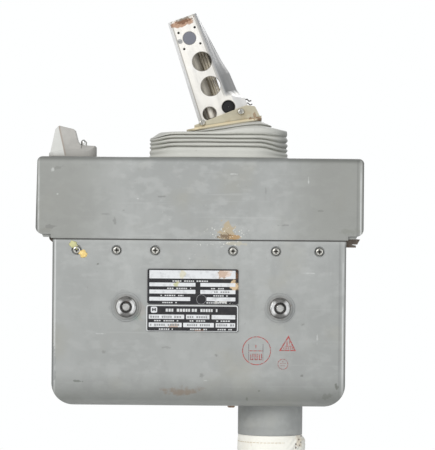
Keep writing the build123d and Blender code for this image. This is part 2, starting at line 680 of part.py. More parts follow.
def make_coupling_ring():
    ring = plug_rod(21.2, 43, 19.5)
    for k in range(18):
        angle = math.radians(20 * k)
        x, y = PLUG_X + 20.6 * math.cos(angle), PLUG_Y + 20.6 * math.sin(angle)
        ring -= rod(x, y, PLUG_TOP - 50, PLUG_TOP, 1.9)
    ring += plug_rod(21.2, 23.5, 19.0)
    return ring - plug_rod(10, 60, PLUG_R + FIT)


def make_plug_pins():
    pins = [plug_rod(36, 46, 0.8)]
    for count, radius in ((6, 4.4), (12, 8.8)):
        for k in range(count):
            angle = 2 * math.pi * k / count
            pins.append(Pos(radius * math.cos(angle), radius * math.sin(angle), 0) * plug_rod(36, 46, 0.8))
    return Compound(children=pins)


PARTS = {
    "upper_housing": make_upper_housing(),
    "lower_housing": make_lower_housing(),
    "housing_gasket": make_gasket(),
    "housing_screws_front": make_housing_screws(-1),
    "housing_screws_back": make_housing_screws(1),
    "dovetail_left": make_dovetail(-1),
    "dovetail_right": make_dovetail(1),
    "data_plate_upper": make_data_plate(-31.7, 23.8, -39.5, -18.1),
    "data_plate_lower": make_data_plate(-32.0, 24.0, -56.4, -39.9),
    "frame_studs": make_studs(),
    "stud_washers": make_stud_washers(),
    "stud_nuts": make_stud_nuts(),
    "bellows_base_ring": make_bellows_base(),
    "bellows_outer": make_bellows_outer(),
    "bellows_middle": make_bellows_middle(),
    "bellows_inner": make_bellows_inner(),
    "bellows_neck": make_bellows_neck(),
    "bellows_cap": make_bellows_cap(),
    "stick_base_bracket": make_base_bracket(),
    "bracket_screws": make_bracket_screws(),
    "stick_frame": make_stick_frame(),
    "grip_boss": make_grip_boss(),
    "slot_screw": make_slot_screw(),
    "wire_conduit": make_conduit(),
    "grip_wires": make_grip_wires(),
    "twist_shaft": make_twist_shaft(),
    "twist_bushes": make_twist_bushes(),
    "roll_gimbal_hub": make_roll_hub(),
    "gimbal_column": make_column(),
    "twist_housing": make_twist_housing(),
    "twist_centring_spring": make_twist_spring(),
    "twist_sensor_stator": STICK * make_ring(-31, -23, 8.3, 10.4),
    "twist_sensor_rotor": STICK * make_ring(-31, -23, 5.0, 8.0),
    "pitch_gimbal_ring": make_pitch_ring(),
    "pitch_sensor_stator": turn_to_y(make_ring(-3.4, 3.4, 6.0, 9.5), -PLATE_IN + 3.4),
    "pitch_sensor_rotor": turn_to_y(make_ring(-2.6, 2.6, TRUNNION_Y_R, 5.7), -PLATE_IN + 3.4),
    "roll_sensor_stator": turn_to_x(make_ring(-3.8, 3.8, 5.6, 8.0), -RING_OUT - 3.8),
    "roll_sensor_rotor": turn_to_x(make_ring(-2.6, 2.6, TRUNNION_R, 5.3), -RING_OUT - 3.8),
    "support_plate_front": make_support_plate(-1),
    "support_plate_back": make_support_plate(1),
    "frame_spacers": make_spacers(),
    "stop_plate": make_stop_plate(),
    "trunnion_bearings": make_trunnion_bearings(),
    "snap_switches": make_switches(),
    "terminal_board": make_terminal_board(),
    "board_standoffs": make_standoffs(),
    "lock_lever": make_lock_lever(),
    "lock_lever_screw": make_lock_screw(),
    "lock_shaft": make_lock_shaft(),
    "lock_bar": make_lock_bar(),
    "lock_bar_guide": make_lock_guides(),
    "cable_collar": make_collar(),
    "collar_nut": make_collar_nut(),
    "bottom_screw": make_bottom_screw(),
    "cable_sleeve": make_sleeve(),
    "cable": make_cable(),
    "plug_backshell": make_backshell(),
    "plug_shell": make_plug_shell(),
    "plug_coupling_ring": make_coupling_ring(),
    "plug_pins": make_plug_pins(),
}

os.makedirs("parts", exist_ok=True)
for name, shape in PARTS.items():
    export_step(shape, f"parts/{name}.step")
print(len(PARTS), "parts")
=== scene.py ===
import json
import math

import bpy
from mathutils import Matrix, Vector, noise


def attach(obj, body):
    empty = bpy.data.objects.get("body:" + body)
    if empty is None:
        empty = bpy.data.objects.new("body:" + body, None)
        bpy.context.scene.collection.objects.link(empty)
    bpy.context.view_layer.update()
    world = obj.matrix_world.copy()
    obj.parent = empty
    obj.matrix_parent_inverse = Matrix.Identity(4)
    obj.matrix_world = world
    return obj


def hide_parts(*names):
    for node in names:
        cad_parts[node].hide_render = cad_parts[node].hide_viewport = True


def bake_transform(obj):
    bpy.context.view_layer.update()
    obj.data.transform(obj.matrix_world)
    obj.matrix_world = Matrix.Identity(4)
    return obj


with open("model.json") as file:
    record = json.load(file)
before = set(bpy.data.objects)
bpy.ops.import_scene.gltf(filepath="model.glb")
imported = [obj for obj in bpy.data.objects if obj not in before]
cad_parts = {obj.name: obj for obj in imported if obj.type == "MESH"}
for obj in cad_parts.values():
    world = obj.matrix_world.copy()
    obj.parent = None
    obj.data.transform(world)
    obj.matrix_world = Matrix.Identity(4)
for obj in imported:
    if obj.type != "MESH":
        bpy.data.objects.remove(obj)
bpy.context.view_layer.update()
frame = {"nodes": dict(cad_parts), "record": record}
scene = bpy.context.scene
nodes = frame["nodes"]
MM = 0.001

# The stick's own axes: u across its front plate, w along it, from the point where its three axes meet.
CANT = math.radians(20.0)
GIMBAL = Vector((29.0, 0.0, 32.0))
STICK_U = Vector((math.cos(CANT), 0.0, math.sin(CANT)))
STICK_W = Vector((-math.sin(CANT), 0.0, math.cos(CANT)))
CAP_SLOPE = math.tan(math.radians(9.5))  # of the plate on top of the bellows, towards the right
COLLAR = Vector((44.6, 0.0, -121.0))     # middle of the lower end of the steel collar
FRONT = -39.0                            # front face of both housings
STUDS = [Vector((x, 0.0, -41.5)) for x in (-44.5, 49.2)]
SCREWS = [Vector((x, 0.0, -7.0)) for x in (-75.0, -50.6, -27.1, 20.3, 46.5, 73.0)]
# middles and radii of the round holes in the front plate of the stick, across it and along it
STICK_HOLES = [(-0.3, 83.5, 5.95), (-0.3, 67.2, 6.1), (-6.6, 51.3, 4.25), (5.8, 51.4, 4.1), (-2.8, 99.7, 4.0)]


def cap_under(x):
    """Height of the underside of the sloping plate on top of the bellows."""
    axis = GIMBAL + STICK_W * 42.3
    return axis.z + (x - axis.x) * CAP_SLOPE - 1.6


# ---- camera, lights and world ----
camera_data = bpy.data.cameras.new("camera")
camera_data.lens = 210.0
camera = bpy.data.objects.new("camera", camera_data)
scene.collection.objects.link(camera)
camera.matrix_world = (
    Matrix.Translation((0.0107, -1.639, 0.00885))
    @ Matrix.Rotation(math.radians(90.0), 4, "X")
    @ Matrix.Rotation(math.radians(0.5), 4, "Z")
)
scene.camera = camera
scene.view_settings.view_transform = "Standard"
scene.view_settings.look = "None"


def lin(r, g, b):
    """A colour given as 0 to 255 sRGB, made linear."""
    values = [c / 255.0 for c in (r, g, b)]
    return tuple(c / 12.92 if c <= 0.04045 else ((c + 0.055) / 1.055) ** 2.4 for c in values) + (1.0,)


def area_light(name, place, size, power, tint=(1.0, 1.0, 1.0)):
    data = bpy.data.lights.new(name, "AREA")
    data.shape = "DISK"
    data.size = size
    data.energy = power
    data.color = tint
    light = bpy.data.objects.new(name, data)
    scene.collection.objects.link(light)
    light.matrix_world = Matrix.Translation(place) @ (-Vector(place)).to_track_quat("-Z", "Y").to_matrix().to_4x4()


area_light("key", (-1.0, -1.7, 0.75), 0.9, 19.0, (1.0, 0.99, 0.975))
area_light("fill", (1.3, -1.6, 0.1), 1.0, 7.0, (0.97, 0.985, 1.0))
area_light("back", (0.4, 1.9, 0.9), 1.2, 10.0)

world = bpy.data.worlds.new("studio")
world.use_nodes = True
scene.world = world
tree = world.node_tree
tree.nodes.clear()
path = tree.nodes.new("ShaderNodeLightPath")
mixer = tree.nodes.new("ShaderNodeMixShader")
shown = tree.nodes.new("ShaderNodeBackground")
shown.inputs["Color"].default_value = lin(254, 255, 255)
lamp = tree.nodes.new("ShaderNodeBackground")
lamp.inputs["Color"].default_value = (0.97, 0.985, 1.0, 1.0)
lamp.inputs["Strength"].default_value = 0.5
output = tree.nodes.new("ShaderNodeOutputWorld")
tree.links.new(path.outputs["Is Camera Ray"], mixer.inputs[0])
tree.links.new(lamp.outputs[0], mixer.inputs[1])
tree.links.new(shown.outputs[0], mixer.inputs[2])
tree.links.new(mixer.outputs[0], output.inputs["Surface"])


# ---- materials ----
class Look:
    """One procedural material. Its patterns are placed in the same frame as the CAD, in metres."""

    def __init__(self, name, colour, roughness, metallic=0.0, turned=False, **sockets):
        self.material = bpy.data.materials.new(name)
        self.material.use_nodes = True
        self.tree = self.material.node_tree
        self.tree.nodes.clear()
        self.shader = self.add("ShaderNodeBsdfPrincipled")
        end = self.add("ShaderNodeOutputMaterial")
        self.tree.links.new(self.shader.outputs[0], end.inputs[0])
        self.shader.inputs["Metallic"].default_value = metallic
        for socket, value in sockets.items():
            self.shader.inputs[socket.replace("_", " ")].default_value = value
        self.place = self.add("ShaderNodeTexCoord").outputs["Object"]
        self.base = self.colour = tuple(colour)
        self.rough, self.normal = roughness, None
        if turned:
            self.place = self.stick_place()

    def add(self, kind, **settings):
        node = self.tree.nodes.new(kind)
        for key, value in settings.items():
            setattr(node, key, value)
        return node

    def put(self, socket, value):
        if isinstance(value, bpy.types.NodeSocket):
            self.tree.links.new(value, socket)
        else:
            socket.default_value = value

    def math(self, operation, a, b=0.0, c=0.0):
        node = self.add("ShaderNodeMath", operation=operation)
        for socket, value in zip(node.inputs, (a, b, c)):
            self.put(socket, value)
        return node.outputs[0]

    def vector(self, operation, a, b=(0.0, 0.0, 0.0)):
        node = self.add("ShaderNodeVectorMath", operation=operation)
        self.put(node.inputs[0], a)
        self.put(node.inputs[1], b)
        return node.outputs["Value" if operation in ("DOT_PRODUCT", "LENGTH") else "Vector"]

    def stick_place(self):
        """Coordinates along the stick, in metres."""
        offset = self.vector("SUBTRACT", self.place, GIMBAL * MM)
        parts = self.add("ShaderNodeCombineXYZ")
        for socket, axis in zip(parts.inputs, (STICK_U, Vector((0, 1, 0)), STICK_W)):
            self.put(socket, self.vector("DOT_PRODUCT", offset, axis))
        return parts.outputs[0]

    def noise(self, scale, detail=3.0, seed=0.0, stretch=(1.0, 1.0, 1.0)):
        place = self.vector("MULTIPLY", self.place, stretch)
        node = self.add("ShaderNodeTexNoise", noise_dimensions="4D")
        self.put(node.inputs["Vector"], place)
        for socket, value in (("W", seed), ("Scale", scale), ("Detail", detail), ("Roughness", 0.55)):
            node.inputs[socket].default_value = value
        return node.outputs["Fac"]

    def cloud(self, low, high, *pattern):
        """Noise, turned into patches by two thresholds."""
        return self.ramp(self.noise(*pattern), low, high)

    def ramp(self, value, low, high, to_low=0.0, to_high=1.0):
        node = self.add("ShaderNodeMapRange", interpolation_type="SMOOTHSTEP")
        for socket, number in zip(node.inputs, (value, low, high, to_low, to_high)):
            self.put(socket, number)
        return node.outputs[0]

    def axis(self, index):
        parts = self.add("ShaderNodeSeparateXYZ")
        self.put(parts.inputs[0], self.place)
        return parts.outputs[index]

    x = property(lambda self: self.axis(0))
    y = property(lambda self: self.axis(1))
    z = property(lambda self: self.axis(2))

    def spot(self, centre, size, ragged=0.5, grain=300.0, seed=3.0, edge=0.25):
        """1 inside an ellipsoid given in millimetres, with a ragged edge, and 0 outside."""
        offset = self.vector("SUBTRACT", self.place, Vector(centre) * MM)
        scaled = self.vector("DIVIDE", offset, Vector(size) * MM)
        distance = self.vector("LENGTH", scaled)
        rough = self.math("MULTIPLY", self.math("SUBTRACT", self.noise(grain, 4, seed), 0.5), ragged * 4)
        return self.ramp(self.math("ADD", distance, rough), 1.0, 1.0 - edge)

    def both(self, a, b):
        return self.math("MULTIPLY", a, b)

    def tint(self, colour, amount, strength=1.0):
        """Mixes a colour in. Three numbers are sRGB from 0 to 255, four are linear."""
        node = self.add("ShaderNodeMix", data_type="RGBA")
        if strength != 1.0:
            amount = self.math("MULTIPLY", amount, strength)
        self.put(node.inputs["Factor"], amount)
        self.put(node.inputs[6], self.colour)
        self.put(node.inputs[7], lin(*colour) if len(colour) == 3 else colour)
        self.colour = node.outputs[2]

    def stains(self, *rows):
        """Each row is a colour, its strength, and what spot() takes."""
        for colour, strength, *spot in rows:
            self.tint(colour, self.spot(*spot), strength)

    def chips(self, colour, rows, y=-38.5):
        """Dark chips on the front. Each row is x, z, two half sizes and a strength."""
        for x, z, rx, rz, strength in rows:
            self.tint(colour, self.spot((x, y, z), (rx, 6, rz), 0.9, 420, x, 0.6), strength)

    def scuffs(self, colour, strength, rows):
        """Pale scuffs on the front. Each row is x, z and two half sizes."""
        for x, z, rx, rz in rows:
            self.tint(colour, self.spot((x, -38.5, z), (rx, 6, rz), 0.8, 420, z, 0.6), strength)

    def away(self, centre):
        """Offset from a line along y through a point in millimetres, and the distance from it, in metres."""
        offset = self.vector("MULTIPLY", self.vector("SUBTRACT", self.place, Vector(centre) * MM), (1.0, 0.0, 1.0))
        return offset, self.vector("LENGTH", offset)

    def clouds(self, *rows):
        """Each row is a colour, or a factor on the base colour, then its strength and what cloud() takes."""
        for colour, strength, *cloud in rows:
            if not isinstance(colour, tuple):
                colour = shade(self.base, colour)
            self.tint(colour, self.cloud(*cloud), strength)

    def gloss(self, amount, roughness):
        node = self.add("ShaderNodeMix", data_type="FLOAT")
        self.put(node.inputs[0], amount)
        self.put(node.inputs[2], self.rough)
        self.put(node.inputs[3], roughness)
        self.rough = node.outputs[0]

    def bump(self, height, depth, strength=1.0):
        """depth is in millimetres."""
        node = self.add("ShaderNodeBump")
        node.inputs["Strength"].default_value = strength
        node.inputs["Distance"].default_value = depth * MM
        self.put(node.inputs["Height"], height)
        if self.normal is not None:
            self.put(node.inputs["Normal"], self.normal)
        self.normal = node.outputs[0]

    def soften(self, radius):
        """Rounds sharp edges in the shading, by a radius in millimetres."""
        node = self.add("ShaderNodeBevel", samples=4)
        node.inputs["Radius"].default_value = radius * MM
        self.normal = node.outputs[0]

    def edges(self, radius, low=0.02, high=0.2):
        """1 along sharp edges, 0 elsewhere."""
        bevel = self.add("ShaderNodeBevel", samples=4)
        bevel.inputs["Radius"].default_value = radius * MM
        flat = self.add("ShaderNodeNewGeometry").outputs["Normal"]
        return self.ramp(self.vector("DOT_PRODUCT", bevel.outputs[0], flat), 1.0 - low, 1.0 - high)

    def stripe(self, value, start, end, soft=0.0004):
        """1 where a coordinate lies between two values, with soft flanks, all in metres."""
        rise, fall = self.ramp(value, start - soft, start + soft), self.ramp(value, end + soft, end - soft)
        return self.both(rise, fall)

    def lines(self, value, *rows, within=None):
        """Each row is a colour, its strength, and what stripe() takes after the value."""
        for colour, strength, *stripe in rows:
            amount = self.stripe(value, *stripe)
            self.tint(colour, amount if within is None else self.both(amount, within), strength)

    def painted_edge_lines(self, low, high, dark, pale):
        """At both ends, given in metres: painted shade in a line right at the rounded corner and a painted highlight
        line inside it, broken up by noise; at the high end a faint third line of painted shade further in.
        """
        x, corner = self.x, self.ramp(self.math("ABSOLUTE", self.y), 0.0366, 0.0380)
        broken = self.both(corner, self.ramp(self.noise(60, 4, 25, (1.0, 1.0, 0.5)), 0.38, 0.56, 0.15, 1.0))
        for start, end, colour, strength in (
            (low - 0.002, low + 0.0006, dark, 0.85), (low + 0.0011, low + 0.0019, pale, 0.8),
            (high - 0.0006, high + 0.002, dark, 0.85), (high - 0.0020, high - 0.0012, pale, 0.8),
            (high - 0.0042, high - 0.0030, dark, 0.25),
        ):
            line = self.stripe(x, start, end, 0.0003)
            self.tint(colour, self.both(line, broken if colour == pale else corner), strength)

    def done(self):
        self.put(self.shader.inputs["Base Color"], self.colour)
        self.put(self.shader.inputs["Roughness"], self.rough)
        if self.normal is not None:
            self.put(self.shader.inputs["Normal"], self.normal)
        return self.material


def shade(colour, by):
    return tuple(min(1.0, c * by) for c in colour[:3]) + (1.0,)


def paint(name, base, roughness=0.4):
    """Old grey enamel over a casting: cloudy tone, orange peel, fine scratches and specks, with sharp edges rounded
    in the shading.
    """
    look = Look(name, base, roughness)
    look.soften(0.7)
    look.clouds(
        (0.80, 0.6, 0.40, 0.62, 16, 4), (1.16, 0.55, 0.48, 0.70, 38, 5, 2),
        (0.84, 0.5, 0.46, 0.62, 120, 5, 17, (1.0, 1.0, 0.6)), (1.14, 0.5, 0.48, 0.64, 170, 5, 18, (0.6, 1.0, 1.0)),
        ((166, 163, 148), 0.45, 0.52, 0.72, 24, 4, 9),
        (0.62, 0.5, 0.66, 0.74, 700, 3, 5), (1.4, 0.5, 0.68, 0.76, 520, 3, 7),
        (1.25, 0.28, 0.64, 0.7, 60, 3, 11, (0.25, 1.0, 9.0)), (0.8, 0.28, 0.65, 0.72, 46, 3, 13, (7.0, 1.0, 0.3)),
    )
    look.gloss(look.cloud(0.35, 0.7, 50, 4, 4), roughness + 0.16)
    look.bump(look.noise(1500, 2, 6), 0.05, 0.5)
    look.bump(look.noise(150, 4, 8), 0.16, 0.5)
    return look


def metal(name, base, roughness=0.3, brushed=(1.0, 1.0, 1.0), dark=0.6,
          turned=False, scale=120.0, metallic=1.0):
    """Bare or plated metal, with a brushed grain, dull patches and pits."""
    look = Look(name, base, roughness, metallic, turned)
    look.soften(0.25)
    look.clouds((dark, 0.6, 0.45, 0.75, scale, 4), (1.2, 0.5, 0.5, 0.8, scale * 2.3, 4, 2))
    grain = look.noise(260, 3, 3, brushed)
    look.gloss(look.ramp(grain, 0.35, 0.7), min(1.0, roughness + 0.22))
    look.bump(grain, 0.03, 0.4)
    return look


def plastic(name, base, roughness=0.45, grain=900.0):
    """Moulded plastic, epoxy or rubber with a fine grain and handling marks."""
    look = Look(name, base, roughness)
    look.soften(0.25)
    look.clouds((0.75, 0.5, 0.45, 0.75, 60, 4), (1.35, 0.4, 0.6, 0.8, 240, 4, 2))
    look.gloss(look.cloud(0.4, 0.7, 90, 4, 3), roughness + 0.2)
    look.bump(look.noise(grain, 2, 4), 0.03, 0.5)
    return look


GREY = lin(172, 174, 172)
UPPER_GREY = lin(171, 173, 171)


def housing_upper():
    look = paint("paint_upper", UPPER_GREY)
    # darker towards both ends, and painted shade where the top edge rounds over, deeper on the right
    look.tint((146, 147, 142), look.ramp(look.x, -0.040, -0.082), 0.74)
    look.tint((146, 147, 142), look.ramp(look.x, 0.042, 0.078), 0.78)
    look.tint((104, 106, 102), look.ramp(look.z, 0.0468, 0.0490), 0.55)
    look.tint((104, 106, 100), look.both(look.ramp(look.z, 0.0455, 0.0488), look.ramp(look.x, 0.03, 0.07)), 0.2)
    # painted shade and painted highlight lines along both rounded ends
    look.painted_edge_lines(-0.0999, 0.0996, lin(96, 97, 95), lin(214, 216, 215))
    # tan deposit and pale flecks above the joint, right of the middle
    look.stains(
        ((186, 166, 130), 0.75, (16.5, -39, 4), (5.2, 6, 6.5), 0.75, 420),
        ((180, 142, 88), 0.85, (21, -39, 1.6), (4.4, 6, 1.8), 0.4, 500, 4),
        ((112, 92, 70), 0.8, (15.4, -39, 2), (4.2, 6, 1.6), 1.1, 900, 5),
    )
    where = look.spot((16, -39, 4.5), (19, 6, 5.5), 0.3, 200, 6, 0.6)
    look.tint((232, 232, 224), look.both(where, look.cloud(0.61, 0.66, 850, 2, 21)), 0.9)
    look.chips((104, 106, 100), (
        (-24, 26, 4.0, 0.6, 0.35), (-47, 17, 1.6, 0.8, 0.3), (-57, 15, 3.0, 0.5, 0.3), (-52, 11, 1.4, 2.2, 0.35),
        (40, 30, 0.8, 4.0, 0.25), (74, 18, 3.0, 0.6, 0.3), (-86, 43, 3.4, 1.4, 0.3), (52, 9, 5.0, 0.6, 0.3),
    ))
    look.scuffs((216, 218, 216), 0.5, (
        (-38, 24.5, 0.9, 0.6), (-87, 27, 0.7, 0.6), (-90, 42, 1.4, 1.6), (20, 40, 3.0, 0.5), (66, 36, 0.5, 2.0),
    ))
    # grime in the lower left and right corners, and near the left end
    look.stains(
        ((122, 122, 119), 0.6, (-92, -39, 7), (3.4, 5, 1.3), 0.7, 500, 7),
        ((138, 138, 132), 0.6, (-94, -39, 4.4), (6, 8, 2.0), 0.5, 300, 8, 0.6),
        ((136, 138, 130), 0.55, (92, -39, 5.4), (7, 8, 2.4), 0.6, 300, 8, 0.6),
    )
    return look.done()


def housing_lower():
    look = paint("paint_lower", GREY)
    look.tint((186, 189, 187), look.cloud(0.45, 0.65, 9, 3, 24), 0.15)
    look.tint((142, 144, 142), look.ramp(look.z, -0.010, -0.060), 0.20)
    look.tint((142, 144, 142), look.ramp(look.math("ABSOLUTE", look.x), 0.040, 0.085), 0.16)
    # painted shade and painted highlight lines along both rounded ends
    look.painted_edge_lines(-0.0895, 0.0891, lin(104, 106, 104), lin(210, 212, 211))
    # a painted highlight in a strip just below the joint, where the top edge rounds over, with flecks of deposit
    look.tint((188, 190, 188), look.ramp(look.z, -0.0034, -0.0014), 0.28)
    where = look.spot((12, -39, -2), (26, 6, 3.4), 0.3, 200, 6, 0.6)
    look.tint((236, 236, 230), look.both(where, look.cloud(0.62, 0.67, 800, 2, 22)), 0.9)
    look.tint((200, 190, 160), look.spot((22, -39, -2.4), (6, 5, 1.6), 0.6, 400), 0.4)
    # painted shade towards the rounded bottom edge, with a little painted light back at its very bottom; stains, and
    # darker patches at the two lower corners
    look.tint((112, 114, 109), look.ramp(look.z, -0.080, -0.097), 0.60)
    look.tint((172, 172, 169), look.ramp(look.z, -0.0976, -0.1000), 0.25)
    look.stains(
        ((128, 106, 84), 0.55, (-10, -37, -92.5), (14, 8, 3.0), 0.7, 260, 9, 0.7),
        ((112, 116, 110), 0.75, (-74, -38, -87), (3.2, 6, 0.7), 0.8, 500, 12),
        ((120, 122, 116), 0.35, (-80, -34, -97), (11, 12, 6), 0.5, 120, 14, 0.7),
        ((118, 120, 116), 0.4, (80, -34, -97), (12, 12, 7), 0.5, 120, 15, 0.7),
        ((118, 122, 122), 0.5, (-89, -38, -78), (1.6, 5, 12), 0.9, 300, 16),
    )
    look.chips((96, 98, 90), (
        (10.8, -70.5, 1.6, 1.2, 0.45), (1.8, -83, 2.0, 1.4, 0.3), (63.4, -51.6, 1.4, 0.9, 0.4),
        (36.8, -92, 1.5, 1.0, 0.6), (29.5, -96.8, 1.0, 1.2, 0.5), (62.8, -82.5, 1.1, 0.7, 0.5),
        (-58, -69, 2.2, 1.4, 0.3), (-20, -66, 3.0, 1.0, 0.25), (84.4, -90, 1.5, 3.4, 0.7),
        (78, -95, 4.0, 2.4, 0.35), (-68, -30, 1.0, 1.6, 0.3), (-62, -15.5, 0.9, 0.6, 0.6),
    ), -38.0)
    look.scuffs((206, 208, 206), 0.45, (
        (4, -86, 2.0, 0.5), (-60, -58, 3.0, 0.5), (66, -20, 4.0, 0.4), (-6, -12, 0.8, 1.2), (72, -60, 0.6, 3.0),
    ))
    # green patina and rubbed rings round the two stud washers
    look.stains(
        ((140, 158, 148), 0.6, (-38.6, -39, -46.5), (3.6, 5, 3.0), 0.7, 500, 17),
        ((150, 152, 152), 0.35, (-44.5, -39, -41.3), (10.4, 5, 10.4), 0.2, 200, 18, 0.12),
        ((152, 154, 154), 0.35, (49.2, -39, -41.9), (10.2, 5, 10.2), 0.2, 200, 19, 0.12),
        ((170, 160, 150), 0.3, (-36, -39, -43), (3, 5, 7), 0.6, 300, 20),
    )
    return look.done()


def stick_metal():
    """Milled aluminium, creamy from age, with old adhesive across the top of the front plate, painted shade on the
    right side wall and on the inner faces seen through the holes, and painted dark and highlight lines along both
    edges of the front plate.
    """
    look = metal("aluminium_stick", (0.93, 0.905, 0.85, 1.0), 0.36, (1.0, 1.0, 0.15), 0.86, True, 55.0, 0.55)
    across, front = look.x, look.ramp(look.y, -0.0084, -0.0089)
    height = look.z
    right = look.math("MULTIPLY_ADD", height, -0.0225, 0.00665)
    left = look.math("SUBTRACT", across, look.math("MULTIPLY_ADD", height, 0.0383, -0.01446))
    upper = look.ramp(height, 0.057, 0.0605)
    beyond = look.math("SUBTRACT", across, right)
    streak = look.ramp(look.noise(80, 4, 36, (3.0, 1.0, 0.12)), 0.35, 0.65, 0.55, 1.0)
    wall = look.both(look.ramp(beyond, 0.0002, 0.0009), streak)
    # painted shade on the right side wall, streaked along the grain
    look.tint((150, 150, 150), look.both(wall, upper), 0.8)
    # a painted dark line at the right edge and a painted highlight line on the wall beside it, then more painted
    # shade on the wall
    look.lines(beyond, ((116, 115, 112), 0.5, -0.0002, 0.0005, 0.0003),
               ((206, 208, 210), 0.5, 0.0013, 0.0021, 0.0004), within=upper)
    look.tint((126, 128, 130), look.both(look.ramp(beyond, 0.0010, 0.0018), upper), 0.6)
    # a painted dark line along the left edge, and a painted highlight on the narrow face beyond it
    look.tint((128, 124, 116), look.stripe(left, -0.0003, 0.0003, 0.0003), 0.55)
    outer = look.ramp(left, -0.0003, -0.0008)
    look.tint((255, 255, 255), look.both(outer, look.ramp(look.y, -0.0066, -0.0072)), 0.9)
    # painted shade on the inner faces between the two walls, where they show through the holes
    between = look.both(look.ramp(left, -0.0013, -0.0009), look.ramp(beyond, 0.0004, -0.0006))
    inside = look.both(look.stripe(look.y, -0.0074, 0.0083), between)
    look.tint((150, 143, 132), inside, 0.9)
    look.gloss(inside, 0.9)
    foot = look.ramp(height, 0.0585, 0.0565)
    look.tint((200, 202, 205), look.both(look.ramp(across, 0.0092, 0.0106), foot), 0.55)
    look.tint((176, 178, 180), look.cloud(0.52, 0.7, 70, 5, 31, (3.0, 1.0, 0.5)), 0.35)
    for u, w, radius in STICK_HOLES:
        rim = look.ramp(look.away((u, -9, w))[1], (radius + 0.5) * MM, (radius + 0.05) * MM)
        look.tint((92, 86, 76), look.both(rim, front), 0.75)
    look.stains(
        ((178, 134, 102), 0.85, (-4.2, -9, 110.0), (8.0, 3, 2.5), 0.35, 420, 32),
        ((112, 78, 52), 0.75, (-3.2, -9, 111.2), (6.2, 3, 1.7), 1.0, 700, 33),
        ((146, 140, 128), 0.5, (-2.6, -9, 112.6), (9.0, 5, 1.2), 0.5, 500, 34),
        ((150, 146, 140), 0.6, (11.5, -6, 60.5), (3.0, 5, 2.6), 0.8, 400, 35),
    )
    return look.done()


def chromate():
    """Gold chromate on aluminium, greyed by wear and stained brown low on the right, with a painted highlight along
    the lower edge of the sloping plate and its sharp edges, and painted shade in a thin line above that edge and
    below it.
    """
    look = metal("chromate", (0.62, 0.585, 0.46, 1.0), 0.42, (0.2, 1.0, 1.0), 0.8, scale=90.0, metallic=0.6)
    look.tint((182, 160, 120), look.cloud(0.5, 0.72, 130, 4, 41), 0.5)
    level = look.math("SUBTRACT", look.z, look.math("MULTIPLY_ADD", look.x, CAP_SLOPE, cap_under(0) * MM + 0.0016))
    look.tint((176, 168, 146), look.cloud(0.4, 0.6, 60, 4, 44), 0.5)
    # a painted dark line above the lower edge of the sloping plate and a painted highlight along that edge
    look.lines(level, ((110, 96, 72), 0.45, 0.0008, 0.0012, 0.0003), ((232, 217, 182), 0.7, -0.0008, 0.0007, 0.0002))
    # painted shade below that edge
    look.tint((150, 140, 118), look.ramp(level, -0.0008, -0.0011), 0.7)
    look.stains(
        ((140, 104, 76), 0.75, (34.5, -11, 74.6), (5.2, 4, 1.3), 0.9, 520, 42),
        ((150, 112, 80), 0.6, (33, -11, 77.2), (1.4, 4, 2.0), 0.9, 520, 43),
    )
    # painted highlight along sharp edges
    look.tint((242, 232, 206), look.edges(0.5), 0.7)
    return look.done()


def rubber():
    """Pale grey moulded rubber, dusty in the grooves."""
    look = Look("rubber_grey", lin(207, 207, 200), 0.5)
    look.clouds(
        (0.87, 0.5, 0.42, 0.7, 34, 4), (1.1, 0.4, 0.5, 0.75, 120, 4, 2, (0.3, 0.3, 1.0)),
        ((160, 154, 138), 0.35, 0.62, 0.76, 300, 4, 4),
    )
    # painted shade towards the right end of the folds
    look.tint((150, 151, 148), look.both(look.ramp(look.x, 0.044, 0.053), look.ramp(look.z, 0.053, 0.058)), 0.6)
    look.gloss(look.cloud(0.4, 0.7, 70, 4, 3), 0.64)
    look.bump(look.noise(1100, 2, 5), 0.04, 0.4)
    return look.done()


def foil(name):
    """Black etched foil, scuffed, with old paper and adhesive on its right end."""
    look = Look(name, lin(32, 32, 36), 0.38)
    look.clouds(((58, 56, 54), 0.5, 0.5, 0.7, 240, 5), ((150, 150, 150), 0.5, 0.66, 0.72, 900, 3, 2))
    look.stains(
        ((120, 84, 54), 0.6, (20, -39, -21.6), (5.4, 3, 2.6), 1.0, 520, 51),
        ((216, 190, 152), 0.95, (21.4, -39, -28.2), (3.2, 3, 3.6), 0.45, 420, 52),
        ((206, 198, 150), 0.7, (-13.6, -39, -27.0), (1.6, 3, 2.2), 0.8, 520, 53),
        ((220, 218, 212), 0.8, (14, -39, -38), (5.0, 3, 0.9), 1.2, 700, 54),
        ((140, 96, 66), 0.6, (0, -39, -55.5), (3.2, 3, 0.9), 1.0, 600, 55),
    )
    look.gloss(look.cloud(0.4, 0.7, 200, 4, 3), 0.6)
    look.bump(look.noise(500, 3, 4), 0.03, 0.5)
    return look.done()


def print_silver():
    """Bright bare foil in the fields of the data plates, rubbed and spotted."""
    look = Look("print_silver", lin(226, 228, 230), 0.4)
    look.tint((176, 178, 180), look.cloud(0.48, 0.72, 320, 4), 0.55)
    look.stains(
        ((150, 118, 84), 0.7, (14.5, -39, -21.5), (3.0, 3, 2.6), 1.1, 700, 61),
        ((222, 190, 166), 0.55, (15.6, -39, -20.4), (4.6, 3, 2.6), 0.7, 420, 62),
        ((210, 200, 150), 0.5, (-10.2, -39, -21.6), (1.8, 3, 3.2), 0.9, 520, 63),
        ((196, 196, 130), 0.7, (-14.0, -39, -27.4), (1.6, 3, 1.7), 0.8, 520, 64),
        ((176, 132, 92), 0.6, (-16, -39, -52.8), (3.2, 3, 1.4), 0.9, 600, 65),
    )
    look.gloss(look.cloud(0.4, 0.7, 400, 4, 3), 0.6)
    look.bump(look.noise(1200, 2, 4), 0.02, 0.5)
    return look.done()


